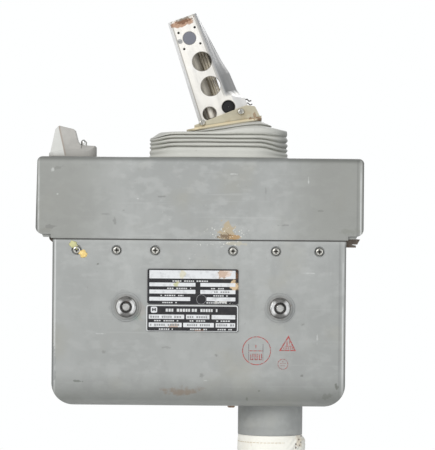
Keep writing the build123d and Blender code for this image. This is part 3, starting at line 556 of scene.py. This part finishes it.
def ink(name, base, hold):
    """Stamped ink that has worn thin, so the paint shows through."""
    look = Look(name, base, 0.55)
    look.tint(shade(base, 1.5), look.cloud(0.45, 0.7, 500, 4), 0.6)
    cover = look.ramp(look.noise(900, 4, 2), hold - 0.14, hold + 0.1, 0.95, 0.25)
    look.put(look.shader.inputs["Alpha"], cover)
    return look.done()


def cloth(name, base, thread=0.0009):
    """Woven cotton: warp and weft from two crossed waves along the UVs, which are in metres."""
    look = Look(name, base, 0.82, Sheen_Weight=0.3, Sheen_Roughness=0.5)
    uv = look.add("ShaderNodeTexCoord").outputs["UV"]
    parts = look.add("ShaderNodeSeparateXYZ")
    look.put(parts.inputs[0], uv)
    across = look.math("SINE", look.math("MULTIPLY", parts.outputs[0], 2 * math.pi / thread))
    along = look.math("SINE", look.math("MULTIPLY", parts.outputs[1], 2 * math.pi / thread))
    weave = look.math("ADD", look.math("MULTIPLY", look.both(across, along), 0.5), 0.5)
    look.tint(shade(base, 0.8), weave, 0.10)
    look.clouds(((232, 216, 184), 0.3, 0.5, 0.72, 60, 4), ((206, 182, 144), 0.3, 0.62, 0.8, 210, 5, 3))
    look.bump(weave, 0.10, 0.5)
    look.bump(look.noise(300, 4, 5), 0.25, 0.5)
    return look


def conduit():
    """Bright tube inside the stick, with a painted highlight and painted brown reflections low down, where it shows
    through the lower left hole, and painted shade higher up.
    """
    look = metal("conduit_bright", lin(240, 234, 222), 0.42, turned=True, metallic=0.35)
    across, low = look.x, look.ramp(look.z, 0.0575, 0.0565)
    # painted shade on the tube above the lower left hole
    look.tint((176, 170, 156), look.ramp(look.z, 0.0565, 0.0575), 0.75)
    # in the lower left hole: a painted highlight stripe and painted brown reflections beside it
    look.lines(
        across, ((255, 250, 240), 0.95, -0.0067, -0.0048, 0.0004), ((96, 84, 72), 0.85, -0.0085, -0.0071, 0.0005),
        ((128, 112, 98), 0.5, -0.0042, -0.0030, 0.0004), within=low,
    )
    return look.done()


def rusty():
    look = metal("steel_rusty", (0.42, 0.33, 0.25, 1.0), 0.6, metallic=0.35)
    look.tint((124, 84, 52), look.cloud(0.42, 0.6, 700, 4, 71), 0.9)
    return look.done()


def oiled():
    look = metal("steel_dark", (0.20, 0.17, 0.145, 1.0), 0.45)
    look.tint((112, 92, 74), look.cloud(0.5, 0.7, 260, 4, 72), 0.6)
    return look.done()


def lever():
    """Paler, warmer enamel on the lock lever, with a painted highlight over the left facet of its fin, a thin
    brownish line along the ridge, and painted shade low on its base.
    """
    look = paint("paint_lever", lin(182, 180, 175), 0.46)
    ridge = look.math("MULTIPLY_ADD", look.z, -0.236, -0.0717)
    past = look.math("SUBTRACT", ridge, look.x)
    above = look.ramp(look.z, 0.0500, 0.0515)
    # painted highlight over the left facet of the fin, past its ridge, and a thin brownish line along the ridge
    look.tint((232, 233, 229), look.both(look.ramp(past, -0.0002, 0.0004), above), 0.85)
    look.tint((150, 128, 108), look.both(look.stripe(past, -0.0008, 0.0001, 0.0003), above), 0.5)
    # painted shade low on the base of the lever
    look.tint((158, 155, 148), look.ramp(look.z, 0.0535, 0.0505), 0.4)
    return look.done()


def studs():
    """Stud ends, nuts and washers: painted shade in the gap round each stud end and on the top and bottom of each
    nut, painted highlights on its left and right flanks, and painted dark rings at the washer's edge.
    """
    look = metal("steel_studs", (0.62, 0.62, 0.60, 1.0), 0.34, scale=200.0)
    for centre in STUDS:
        away, far = look.away(centre)
        parts = look.add("ShaderNodeSeparateXYZ")
        look.put(parts.inputs[0], away)
        wide, high = (look.math("ABSOLUTE", parts.outputs[way]) for way in "XZ")
        tall = look.ramp(look.math("SUBTRACT", high, wide), -0.001, 0.0022)
        flat_sides = look.math("SUBTRACT", 1.0, tall)
        # painted shade on the top and bottom of each nut and painted highlights on its left and right flanks
        look.tint((94, 92, 90), look.both(look.stripe(far, 0.0037, 0.0062, 0.0003), tall), 0.75)
        look.tint((252, 252, 252), look.both(look.stripe(far, 0.0038, 0.0058, 0.0003), flat_sides), 0.7)
        # painted shade in the gap round the stud end, and painted dark rings at the edge of the washer
        look.lines(
            far, ((38, 34, 34), 0.92, 0.0029, 0.0037, 0.0002), ((66, 64, 62), 0.7, 0.0060, 0.0066, 0.0002),
            ((118, 120, 118), 0.5, 0.0066, 0.0074, 0.0003), ((86, 86, 84), 0.6, 0.0074, 0.0079, 0.0002),
        )
    look.tint((120, 96, 80), look.cloud(0.58, 0.72, 420, 4, 74), 0.5)
    return look.done()


def screws():
    """Domed screw heads, with painted shade in the recess, in a ring near the rim and under the rim."""
    look = metal("steel_screws", (0.66, 0.65, 0.60, 1.0), 0.28)
    depth = look.math("ABSOLUTE", look.y)
    for centre in SCREWS:
        far = look.away(centre)[1]
        # painted shade in the recess and in a ring near the rim
        look.tint((40, 34, 28), look.ramp(far, 0.0010, 0.0007), 0.75)
        look.tint((52, 46, 38), look.stripe(far, 0.0021, 0.0029, 0.0002), 0.85)
    # painted shade low on the heads, where they meet the face under them
    look.tint((46, 42, 36), look.both(look.ramp(depth, 0.0394, 0.0389), look.ramp(depth, 0.030, 0.0302)), 0.85)
    look.tint((60, 54, 46), look.both(look.ramp(depth, 0.01195, 0.0117), look.ramp(depth, 0.030, 0.0298)), 0.8)
    return look.done()


SLOTS = {
    "housing_paint": housing_lower(),
    "collar_paint": paint("paint_collar", lin(162, 164, 162), 0.5).done(),
    "lever_paint": lever(),
    "black_rubber": plastic("rubber_black", lin(44, 44, 44), 0.6).done(),
    "grey_rubber": rubber(),
    "black_plate": foil("foil_black"),
    "steel": metal("steel", (0.70, 0.70, 0.68, 1.0), 0.22).done(),
    "dark_steel": oiled(),
    "screws": screws(),
    "studs": studs(),
    "rusty_steel": rusty(),
    "gold_chromate": chromate(),
    "bare_aluminium": stick_metal(),
    "machined_aluminium": metal("aluminium_machined", (0.78, 0.78, 0.79, 1.0), 0.32, (0.2, 1, 4), 0.8).done(),
    "bronze": metal("bronze", (0.58, 0.42, 0.24, 1.0), 0.34).done(),
    "sensor_case": plastic("sensor_case", lin(62, 70, 84), 0.4).done(),
    "grey_plastic": plastic("plastic_grey", lin(120, 122, 131), 0.42).done(),
    "black_plastic": plastic("plastic_black", lin(38, 38, 40), 0.4).done(),
    "board": plastic("board_epoxy", lin(98, 122, 66), 0.35, 500.0).done(),
    "wire_insulation": plastic("wire_insulation", lin(222, 213, 194), 0.5, 2000.0).done(),
    "plug_metal": metal("plug_olive", (0.30, 0.31, 0.25, 1.0), 0.38, (1.0, 1.0, 6.0), 0.7).done(),
    "gold_pins": metal("gold_pins", (0.83, 0.64, 0.30, 1.0), 0.22).done(),
}


def give(obj, material):
    obj.data.materials.clear()
    obj.data.materials.append(material)


for part in frame["record"]["subparts"]:
    if part["material_slot"] in SLOTS:
        give(nodes[part["node"]], SLOTS[part["material_slot"]])
give(nodes["upper_housing"], housing_upper())
for name in ("housing_screws_front", "housing_screws_back", "bracket_screws"):
    give(nodes[name], SLOTS["screws"])
for name in ("frame_studs", "stud_nuts", "stud_washers"):
    give(nodes[name], SLOTS["studs"])
give(nodes["wire_conduit"], conduit())
give(nodes["housing_gasket"], plastic("gasket", lin(92, 92, 89), 0.6).done())


# ---- mesh tools ----
def solid(name, points, faces, material, slot, body=None, smooth=True, uvs=None):
    """A mesh from points in millimetres."""
    mesh = bpy.data.meshes.new(name)
    mesh.from_pydata([Vector(p) * MM for p in points], [], faces)
    mesh.materials.append(material)
    if smooth:
        mesh.shade_smooth()
    if uvs:
        layer = mesh.uv_layers.new(name="UVMap")
        for loop in mesh.loops:
            layer.data[loop.index].uv = uvs[loop.vertex_index]
    obj = bpy.data.objects.new(name, mesh)
    scene.collection.objects.link(obj)
    if body:
        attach(obj, body)
    return obj


def join_loops(loops, closed=False):
    """Quads between loops that all have the same number of points."""
    count = len(loops[0])
    points = [p for loop in loops for p in loop]
    pairs = list(zip(range(len(loops)), range(1, len(loops))))
    if closed:
        pairs.append((len(loops) - 1, 0))
    faces = []
    for a, b in pairs:
        for k in range(count):
            n = (k + 1) % count
            faces.append((a * count + k, a * count + n, b * count + n, b * count + k))
    return points, faces


def around(count):
    """Cosine and sine of equal steps round a circle."""
    return [(math.cos(2 * math.pi * k / count), math.sin(2 * math.pi * k / count)) for k in range(count)]


def on_stick(u, v, w):
    """A place given across, behind and along the stick, in millimetres."""
    return GIMBAL + STICK_U * u + Vector((0, v, 0)) + STICK_W * w


def grid(rows, count, first=0):
    """Quads between rows of count + 1 points."""
    starts = [first + row * (count + 1) + k for row in range(rows) for k in range(count)]
    return [(a, a + count + 1, a + count + 2, a + 1) for a in starts]


def smooth_step(value):
    value = min(1.0, max(0.0, value))
    return value * value * (3 - 2 * value)


def ring_loop(centre, width, depth, radius, inset):
    """Points of a rounded rectangle, inset by a distance."""
    half = (width / 2 - radius, depth / 2 - radius)
    corners = [(half[0], half[1]), (-half[0], half[1]), (-half[0], -half[1]), (half[0], -half[1])]
    points = []
    for i, (cx, cy) in enumerate(corners):
        arc = [
            Vector((centre + cx + (radius - inset) * math.cos(math.radians(90 * i + 7.5 * k)),
                    cy + (radius - inset) * math.sin(math.radians(90 * i + 7.5 * k)), 0.0))
            for k in range(13)
        ]
        points += arc
        angle = math.radians(90 * (i + 1))
        nx, ny = corners[(i + 1) % 4]
        start, end = arc[-1], Vector((
            centre + nx + (radius - inset) * math.cos(angle), ny + (radius - inset) * math.sin(angle), 0.0))
        points += [start.lerp(end, t / 8) for t in range(1, 8)]
    return points


# ---- bellows ----
BELLOWS = (11.0, 86.0, 66.0, 26.0)
NECK = (17.4, 52.0, 43.0, 17.0)
GROOVES = [57.0, 59.5, 61.85, 64.1]


def stack_sag(x, z, inset):
    """The folds droop at both ends, the lower ones more on the right, and the top one swells on the right."""
    foot = min(1.0, max(0.0, (z - 51) / 4))
    left = (1.8 + 1.7 * smooth_step((z - 64.3) / 0.8)) * smooth_step((-16 - x) / 15)
    right = (3.0 - 2.2 * min(1.0, max(0.0, (z - 59.5) / 4.6))) * smooth_step((x - 36) / 17)
    swell = 0.5 * smooth_step((x - 10) / 14) * smooth_step((z - 63.0) / 1.0)
    swell += (3.0 * smooth_step((x - 1) / 31) - 1.2 * smooth_step((x - 42) / 11)) * smooth_step((z - 64.3) / 1.2)
    return (swell - (left + right) * foot) * (1 - smooth_step((inset - 3.5) / 3.0))


def stack_profile():
    """Inset and height from the foot of the bellows, out over its folds, to the inside of the top one."""
    line = [
        (5.6, 50.05), (0.3, 50.05), (-0.25, 50.3), (-0.3, 50.8), (0.1, 51.3), (0.5, 51.8), (0.55, 52.6),
        (0.3, 53.8), (0.0, 54.9), (0.15, 55.7), (0.7, 56.3), (1.9, 56.65), (3.7, 56.87), (4.1, 57.0),
    ]
    for low, high in zip(GROOVES, GROOVES[1:]):
        middle = (low + high) / 2
        line += [
            (3.7, low + 0.13), (1.7, low + 0.32), (0.6, low + 0.66), (0.15, middle - 0.12), (0.15, middle + 0.22),
            (0.7, high - 0.6), (1.9, high - 0.3), (3.7, high - 0.13), (4.1, high),
        ]
    line += [
        (3.7, 64.23), (1.6, 64.42), (0.6, 64.75), (0.7, 65.2), (1.6, 65.6), (3.4, 65.95), (5.4, 66.1), (6.9, 65.9),
        (7.5, 65.2), (7.3, 64.2), (6.4, 62.6), (5.2, 60.9), (5.0, 60.6), (4.6, 60.2), (5.0, 57.0), (5.6, 52.0),
    ]
    return line


def stack():
    loops = []
    for inset, z in stack_profile():
        loop = []
        for p in ring_loop(*BELLOWS, inset):
            if 0.5 < inset < 4.2:
                end = smooth_step((abs(p.x - 11.0) + inset - 33.0) / 9.0)
                p = Vector((p.x + math.copysign((inset - 0.4) * 0.72 * end, p.x - 11.0), p.y, 0))
            wave = noise.noise(Vector((p.x * 0.05, p.y * 0.05, z * 0.35))) * 0.28 * smooth_step((z - 55) / 2)
            loop.append(Vector((p.x, p.y, z + (wave if inset < 4.5 else 0.0) + stack_sag(p.x, z, inset))))
        loops.append(loop)
    piece = solid("bellows_stack", *join_loops(loops, closed=True), SLOTS["grey_rubber"], "grey_rubber")
    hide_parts("bellows_base_ring", "bellows_outer")
    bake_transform(piece)


def web(name, node, outer, inner, lows, highs):
    """A flexible ring between two outlines, with one shallow ripple, 0.7 mm thick."""
    top, under = [], []
    for k in range(10):
        t = k / 9
        ripple = 0.35 * math.sin(2 * math.pi * t)
        z = lows + (highs - lows) * t
        loop = [a.lerp(b, t + ripple * 0.12) for a, b in zip(outer, inner)]
        top.append([Vector((p.x, p.y, z)) for p in loop])
        under.append([Vector((p.x, p.y, z - 0.7 * min(1.0, t + 0.3))) for p in loop])
    piece = solid(name, *join_loops(top + under[::-1], closed=True), SLOTS["grey_rubber"], "grey_rubber")
    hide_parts(node)
    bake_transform(piece)


def neck():
    """Two thin leaves that fan out to the right, from the inner web up to the sloping plate."""
    line = [
        (4.6, 0, 0.0), (1.8, 0, 0.1), (3.4, 0, 0.5), (3.2, 0, 0.9), (1.4, 1, 0.0), (-0.5, 1, 0.05), (-1.3, 1, 0.14),
        (-1.1, 1, 0.24), (0.3, 1, 0.33), (2.6, 1, 0.38), (2.5, 1, 0.42), (0.4, 1, 0.46), (-0.6, 1, 0.54),
        (-0.2, 1, 0.64), (1.2, 1, 0.78), (3.4, 1, 0.9), (5.6, 1, 1.0), (7.4, 1, 1.0), (6.8, 1, 0.3), (6.2, 0, 0.1),
    ]
    loops = []
    for inset, zone, share in line:
        loop = []
        for p in ring_loop(*NECK, inset):
            low = 64.75
            middle = 65.6 + 3.5 * smooth_step((p.x - 1) / 31) - 0.5 * smooth_step((p.x - 38) / 8)
            high = max(middle + 0.5, cap_under(p.x) - 0.4 * max(0.0, p.x - 36))
            z = (low + (middle - low) * share, middle + (high - middle) * share)[zone]
            loop.append(Vector((p.x, p.y, z + 0.12 * noise.noise(Vector((p.x * 0.09, p.y * 0.09, share * 5))))))
        loops.append(loop)
    piece = solid("bellows_leaves", *join_loops(loops, closed=True), SLOTS["grey_rubber"], "grey_rubber")
    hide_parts("bellows_neck")
    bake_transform(piece)


stack()
web("bellows_web_outer", "bellows_middle", ring_loop(*BELLOWS, 5.1), ring_loop(*BELLOWS, 9.5), 60.7, 62.6)
web("bellows_web_inner", "bellows_inner", ring_loop(*BELLOWS, 9.5), ring_loop(*NECK, 4.0), 62.6, 64.7)
neck()

# ---- cable, its boot and plug ----
CABLE_RADIUS = 9.85
ROUTE = [
    (44.6, 0.0, -178.0), (44.6, 0.0, -224.0), (48.2, 2.4, -274.0),
    (53.6, 5.4, -325.0), (56.0, 6.0, -373.0), (56.0, 6.0, -418.0),
]
CREAM = lin(255, 253, 244)


def route_line():
    """Points along the smooth line of the cable, in millimetres."""
    data = bpy.data.curves.new("cable_line", "CURVE")
    data.dimensions = "3D"
    data.resolution_u = 24
    spline = data.splines.new("NURBS")
    spline.points.add(len(ROUTE) - 1)
    for point, place in zip(spline.points, ROUTE):
        point.co = (*(Vector(place) * MM), 1.0)
    spline.order_u = 3
    spline.use_endpoint_u = True
    obj = bpy.data.objects.new("cable_line", data)
    scene.collection.objects.link(obj)
    bpy.context.view_layer.update()
    mesh = bpy.data.meshes.new_from_object(obj.evaluated_get(bpy.context.evaluated_depsgraph_get()))
    line = [v.co / MM for v in mesh.vertices]
    bpy.data.objects.remove(obj)
    bpy.data.meshes.remove(mesh)
    return line


def frames_along(line):
    """For each point: the point, its distance along, and two directions across the line."""
    out, distance, side = [], 0.0, Vector((1.0, 0.0, 0.0))
    for k, point in enumerate(line):
        ahead = (line[min(k + 1, len(line) - 1)] - line[max(k - 1, 0)]).normalized()
        side = (side - ahead * side.dot(ahead)).normalized()
        if k:
            distance += (point - line[k - 1]).length
        out.append((point, distance, side, side.cross(ahead)))
    return out


def cable():
    """Cloth-covered cable: a woven sleeve that wrinkles a little along its length."""
    line = route_line()
    count = 48
    points, uvs = [], []
    for point, distance, side, other in frames_along(line):
        for k in range(count + 1):
            angle = 2 * math.pi * k / count
            wrinkle = 0.12 * noise.noise(Vector((3 * math.cos(angle), 3 * math.sin(angle), distance * 0.12)))
            radius = CABLE_RADIUS + wrinkle
            points.append(point + (side * math.cos(angle) + other * math.sin(angle)) * radius)
            uvs.append((angle * 10 * MM, distance * MM))
    faces = grid(len(line) - 1, count)
    look = cloth("cloth_cable", shade(CREAM, 0.93), 0.0016)
    piece = solid("cable_cloth", points, faces, look.done(), "cream_cloth", "root", uvs=uvs)
    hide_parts("cable")
    return piece, line


# heights and radii of the boot, from its hem to where it meets the cable
BOOT = [(-121.15, 19.9), (-125.2, 20.15), (-131.0, 20.3), (-138.0, 20.2), (-147.0, 18.4), (-156.0, 16.2),
        (-167.0, 13.6), (-177.9, 11.1)]
BOOT_TOP, BOOT_FOOT = BOOT[0][0], BOOT[-1][0]
SEAM = 4.3                 # depth of the sewn line below the edge of the hem
THREAD = COLLAR.z - 4.35   # height of the thread that shows in it


def boot_radius(z):
    for (z0, r0), (z1, r1) in zip(BOOT, BOOT[1:]):
        if z >= z1 - 1e-6:
            t = (z0 - z) / (z0 - z1)
            return r0 + (r1 - r0) * smooth_step(t) * 0.5 + (r1 - r0) * t * 0.5


def boot():
    """Sewn cloth boot: hemmed at the collar, gathered into a seam on its right, tapering to the cable."""
    rows, count = 90, 160
    points, uvs = [], []
    for thickness in (0.0, 0.8):
        for row in range(rows + 1):
            z = BOOT_TOP + (BOOT_FOOT - BOOT_TOP) * row / rows
            radius, depth = boot_radius(z), BOOT_TOP - z
            for k in range(count + 1):
                angle = 2 * math.pi * k / count
                arc = math.degrees(math.atan2(math.sin(angle + 0.45), math.cos(angle + 0.45)))
                gather = math.exp(-(arc / 24.0) ** 2) * smooth_step(depth / 3.0) * smooth_step((50 - depth) / 20)
                slant = arc * 0.354 + depth * 0.85
                folds = math.sin(slant * 1.75) + 0.5 * math.sin(slant * 3.1 + 1.0)
                soft = noise.noise(Vector((2.2 * math.cos(angle), 2.2 * math.sin(angle), depth * 0.07)))
                hem = 0.22 * math.exp(-((depth - SEAM) / 0.5) ** 2)
                pull = 0.09 * math.sin(angle * 52) * math.exp(-((depth - SEAM) / 1.8) ** 2)
                taper = smooth_step(depth / 14) * smooth_step((57 - depth) / 8)
                out = radius + gather * (2.0 + 0.85 * folds) + soft * 0.5 * taper - hem + pull - thickness
                if depth > 54:
                    out -= 0.3 * math.exp(-((depth - 55.3) / 0.4) ** 2)
                points.append(Vector((COLLAR.x + out * math.cos(angle), out * math.sin(angle), z)))
                uvs.append((angle * 20 * MM, z * MM))
    side = (rows + 1) * (count + 1)
    faces = grid(rows, count) + [quad[::-1] for quad in grid(rows, count, side)]
    for row in (0, rows):
        for k in range(count):
            a = row * (count + 1) + k
            quad = (a, a + 1, side + a + 1, side + a)
            faces.append(quad if row == 0 else quad[::-1])
    look = cloth("cloth_boot", CREAM)
    where = look.spot((60.5, -13, -128), (6, 8, 6), 0.3, 200, 81, 0.6)
    look.tint((120, 88, 62), look.both(where, look.cloud(0.64, 0.68, 620, 2, 82)), 0.85)
    look.tint((214, 190, 150), look.spot((62, -9, -125), (3.6, 8, 5), 0.7, 300, 83, 0.6), 0.4)
    for x, z, size in ((60.4, -126.4, 0.6), (60.3, -128.4, 0.65), (62.3, -123.7, 0.5), (63.9, -121.8, 0.5),
                       (63.6, -125.4, 0.5), (62.8, -127.2, 0.45)):
        look.tint((84, 52, 34), look.spot((x, -12, z), (size, 14, size * 1.2), 0.5, 700, x, 0.5), 0.85)
    piece = solid("boot_cloth", points, faces, look.done(), "cream_cloth", "root", uvs=uvs)
    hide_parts("cable_sleeve")
    return piece


boot_piece = boot()
cable_piece, cable_line = cable()

# ---- prints, stamps and small finds ----
def box_outline(x0, x1, z0, z1, radius=0.0):
    if not radius:
        return [(x0, z0), (x1, z0), (x1, z1), (x0, z1)]
    loop = []
    for k, (cx, cz) in enumerate([(x1 - radius, z1 - radius), (x0 + radius, z1 - radius),
                                  (x0 + radius, z0 + radius), (x1 - radius, z0 + radius)]):
        for t in range(5):
            angle = math.radians(90 * k + 22.5 * t)
            loop.append((cx + radius * math.cos(angle), cz + radius * math.sin(angle)))
    return loop


def boxes(*rows):
    return [box_outline(*row) for row in rows]


def circle(x, z, radius, count=40):
    return [(x + radius * c, z + radius * s) for c, s in around(count)]


def flat(name, y, material, slot, shapes=(), frames=()):
    """Thin print on the front: filled outlines, and bands between pairs of outlines."""
    points, faces = [], []
    for loop in shapes:
        faces.append([len(points) + k for k in range(len(loop))])
        points += [(x, y, z) for x, z in loop]
    for outer, inner in frames:
        first, count = len(points), len(outer)
        points += [(x, y, z) for x, z in list(outer) + list(inner)]
        for k in range(count):
            n = (k + 1) % count
            faces.append((first + k, first + n, first + count + n, first + count + k))
    solid(name, points, faces, material, slot, "root", smooth=False)


def dashes(x0, x1, z0, z1, block, gap, seed):
    """A row of small plain blocks that stands for a line of print."""
    out, x, k = [], x0, 0
    while x < x1 - 0.4:
        wide = block * (1.0 + 0.5 * noise.noise(Vector((k * 1.7, seed, 0.5))))
        if (k + int(seed)) % 6 != 5:
            out.append(box_outline(x, min(x + wide, x1), z0, z1))
        x += wide + gap
        k += 1
    return out


def level_boxes(*levels):
    """Boxes side by side at a few levels. Each level is its bottom, its top, and the two ends of each box."""
    return [(x0, x1, z0, z1) for z0, z1, *spans in levels for x0, x1 in spans]


def data_plates():
    y = FRONT - 0.53
    silver = print_silver()
    white = plastic("print_white", lin(214, 216, 216), 0.45, 700.0).done()
    black = foil("print_black")
    fields = level_boxes(
        (-24.0, -18.95, (-30.5, 22)), (-28.8, -26.5, (-30.5, -2.4), (0.6, 22)),
        (-33.2, -30.8, (-30.5, -2.4), (0.6, 22)), (-37.6, -35.25, (-30.5, -5.5), (4.4, 22)),
        (-48.6, -46.0, (-30.7, -9.1), (-8.0, 6.3), (7.6, 22)),
        (-53.6, -50.9, (-30.7, -10.6), (-9.7, 9.0), (10.1, 22)),
    )
    flat("plate_fields", y, silver, "bare_aluminium",
         [box_outline(*box, 0.25) for box in fields] + [box_outline(-29.5, -25.6, -44.9, -41.2, 0.9)])
    captions = level_boxes(
        (-25.9, -25.1, (-16.4, 7.1)), (-30.35, -29.6, (-19.6, -5.1), (7.1, 15.1)),
        (-34.7, -33.95, (-23.6, -9.7), (7.1, 18)), (-39.0, -38.25, (-22.5, -13.7), (4.4, 16.3)),
        (-50.1, -49.35, (-27.4, -12.2), (-5.7, 4.1), (10.5, 19.1)),
        (-55.3, -54.5, (-25.7, -15.8), (-5.5, 4.8), (11.3, 20.1)),
    )
    bars = [loop for seed, box in enumerate(captions, 1) for loop in dashes(*box, 0.95, 0.4, seed)]
    bars += dashes(-20.4, -5.5, -44.2, -42.4, 1.25, 0.4, 2) + dashes(-4.5, 11.5, -44.2, -42.4, 1.25, 0.4, 3)
    outer, inner = box_outline(-32.3, 23.8, -56.2, -40.1, 1.4), box_outline(-31.6, 23.1, -55.85, -40.8, 0.9)
    flat("plate_captions", y, white, "bare_aluminium", bars, [(outer, inner)])
    marks = []
    for x0, x1, z0, z1, seed in (
        (-29.8, -10.4, -48.0, -46.8, 1), (-7.2, 5.6, -48.0, -46.8, 2), (-29.8, -11.6, -52.9, -51.6, 4),
        (-8.8, 8.2, -52.9, -51.6, 5), (11.0, 21.2, -52.9, -51.6, 6), (9.0, 18.6, -32.5, -31.6, 9),
    ):
        marks += dashes(x0, x1, z0, z1, 0.9, 0.45, seed)
    pale = plastic("print_pale", lin(148, 149, 150), 0.5, 700.0).done()
    ring = (circle(1.2, -36.6, 3.0), circle(1.2, -36.6, 2.75))
    flat("plate_entries", y - 0.03, pale, "bare_aluminium", marks, [ring])
    flat("plate_marks", y - 0.03, black, "black_plate",
         boxes((-28.7, -27.9, -43.9, -42.1), (-27.2, -26.4, -43.9, -42.1), (-28.0, -27.1, -43.2, -42.8)))


def stamps():
    """Round, three-sided and small inspection stamps in worn red ink, with plain strokes in place of figures."""
    y = FRONT - 0.04
    strong, faint = ink("ink_red", lin(186, 84, 80), 0.52), ink("ink_red_faint", lin(190, 104, 98), 0.44)
    grey = ink("ink_grey", lin(124, 112, 116), 0.5)
    strokes = boxes((30.6, 38.8, -67.9, -67.4), (34.5, 35.0, -66.2, -64.0))
    for x in (31.4, 34.0, 36.6):
        strokes += boxes((x, x + 0.55, -73.2, -69.4), (x + 1.3, x + 1.85, -73.2, -69.4), (x, x + 1.85, -73.3, -72.8))
    flat("stamp_round", y, strong, None, strokes, [(circle(35.2, -67.6, 8.8, 64), circle(35.2, -67.6, 8.25, 64))])
    flat("stamp_round_frame", y, grey, None, boxes((30.2, 30.6, -73.6, -63.4), (38.9, 39.3, -73.6, -63.4)))
    tri, inner = [(48.8, -67.6), (59.2, -67.6), (54.6, -58.0)], [(50.1, -66.9), (58.0, -66.9), (54.5, -59.8)]
    strokes = boxes((53.4, 54.0, -64.2, -61.6), (54.9, 55.4, -63.8, -61.6), (52.2, 56.6, -64.9, -64.4))
    strokes += [box_outline(x, x + 0.5, -66.6, -65.3) for x in (51.6, 52.9, 54.2, 55.5, 56.6)]
    flat("stamp_three_sided", y, strong, None, strokes, [(tri, inner)])
    strokes = boxes((49.6, 53.0, -75.4, -75.0), (49.8, 52.6, -76.8, -76.4), (51.0, 51.5, -74.6, -73.8))
    flat("stamp_small", y, faint, None, strokes, [(circle(51.3, -75.7, 3.3), circle(51.3, -75.7, 2.8))])


def blob(name, centre, size, turn, material, seed):
    """A dab of dried paint, lumpy and half sunk in the face under it."""
    loops = []
    for row in range(11):
        up, loop = math.pi * row / 10, []
        for c, s in around(28):
            way = Vector((math.sin(up) * c, -math.cos(up), math.sin(up) * s))
            lump = 1 + 0.5 * noise.noise(way * 1.6 + Vector((seed, 0, 0)))
            lump += 0.15 * noise.noise(way * 5 + Vector((seed, 3, 0)))
            place = Vector((way.x * size[0], way.y * size[1], way.z * size[2])) * lump
            place.rotate(Matrix.Rotation(math.radians(turn), 3, "Y"))
            loop.append(Vector(centre) + place)
        loops.append(loop)
    solid(name, *join_loops(loops), material, None, "root")


def stitches():
    """A round of stitches through the hem of the boot."""
    points, faces, count = [], [], 54
    for k in range(count):
        for end in (-0.36, 0.36):
            angle = 2 * math.pi * (k + end) / count
            out = Vector((math.cos(angle), math.sin(angle), 0))
            for t in range(6):
                turn = math.pi * t / 3
                radius = 19.95 + 0.3 * math.cos(turn)
                points.append(Vector((COLLAR.x, 0, THREAD + 0.28 * math.sin(turn))) + out * radius)
        first = k * 12
        faces += [(first + t, first + (t + 1) % 6, first + 6 + (t + 1) % 6, first + 6 + t) for t in range(6)]
        faces += [tuple(first + t for t in range(5, -1, -1)), tuple(first + 6 + t for t in range(6))]
    look = plastic("thread", lin(234, 224, 202), 0.7).done()
    solid("boot_stitches", points, faces, look, "cream_cloth", "root")


def tube(name, line, radius, material, slot, body, count=10):
    """A thin bent wire through a few points."""
    loops = []
    for point, _, side, other in frames_along([Vector(p) for p in line]):
        loops.append([point + (side * c + other * s) * radius for c, s in around(count)])
    points, faces = join_loops(loops)
    faces += [tuple(range(count))[::-1], tuple(range(len(points) - count, len(points)))]
    solid(name, points, faces, material, slot, body)


def stick_finds():
    """A black plug behind the right hole at the foot of the stick, put there as painted shade in that hole, and bits
    of old locking wire beside it.
    """
    loops = []
    for v, radius in ((-6.2, 4.6), (-7.3, 4.6), (-7.3, 4.0), (-7.9, 3.8), (-8.0, 3.2), (-7.7, 1.6), (-7.7, 0.2)):
        loops.append([on_stick(5.8 + radius * c, v, 51.4 + radius * s) for c, s in around(36)])
    # a black piece behind the hole, put there as painted shade
    black = plastic("hole_shade_black", lin(20, 20, 24), 0.7).done()
    solid("hole_shade_plug", *join_loops(loops), black, "black_rubber", "stick")
    line = [on_stick(*p) for p in ((-0.7, 5.0, 49), (-0.8, 5.2, 64), (-0.7, 4.9, 78), (-0.8, 5.1, 92))]
    tube("grip_wire_rear", line, 0.85, SLOTS["wire_insulation"], "wire_insulation", "stick")
    dark = metal("wire_dark", (0.12, 0.11, 0.10, 1.0), 0.5).done()
    for name, radius, line in (
        ("locking_wire_a", 0.42, [(26.6, -6, 86.9), (28.4, -6.6, 87.2), (29.6, -6.2, 86.0), (31.0, -6.4, 86.4)]),
        ("locking_wire_b", 0.34, [(27.2, -5, 84.6), (29.0, -6.6, 84.9), (30.2, -6.0, 83.7), (31.6, -6.6, 84.2)]),
    ):
        tube(name, line, radius, dark, "steel", "stick")


data_plates()
stamps()
for name, x, z, size, turn, colour, roughness, seed in (
    ("olive", -76.7, -4.1, (3.3, 0.8, 1.9), 38, (206, 203, 150), 0.35, 1.0),
    ("gold", -71.2, -9.3, (2.5, 0.9, 2.1), 30, (246, 214, 138), 0.3, 4.0),
):
    dried = plastic("dab_" + name, lin(*colour), roughness, 400.0).done()
    blob("torque_dab_" + name, (x, FRONT, z), size, turn, dried, seed)
stitches()
stick_finds()

# ---- floor ----
FLOOR_RADIUS = 3400.0
FLOOR_HEIGHT = -478.0      # a little below the plug
floor_look = Look("floor", (0.86, 0.865, 0.865, 1.0), 0.9)
floor_look.tint((0.82, 0.825, 0.825, 1.0), floor_look.ramp(floor_look.noise(1.2, 3), 0.4, 0.7), 0.5)
floor_look.bump(floor_look.noise(300, 3, 2), 0.1, 0.3)
disc = [Vector((FLOOR_RADIUS * c, FLOOR_RADIUS * s, FLOOR_HEIGHT)) for c, s in around(90)]
floor_mesh = bpy.data.meshes.new("floor")
floor_mesh.from_pydata([p * MM for p in disc], [], [list(range(90))])
floor_mesh.materials.append(floor_look.done())
floor = bpy.data.objects.new("floor", floor_mesh)
scene.collection.objects.link(floor)
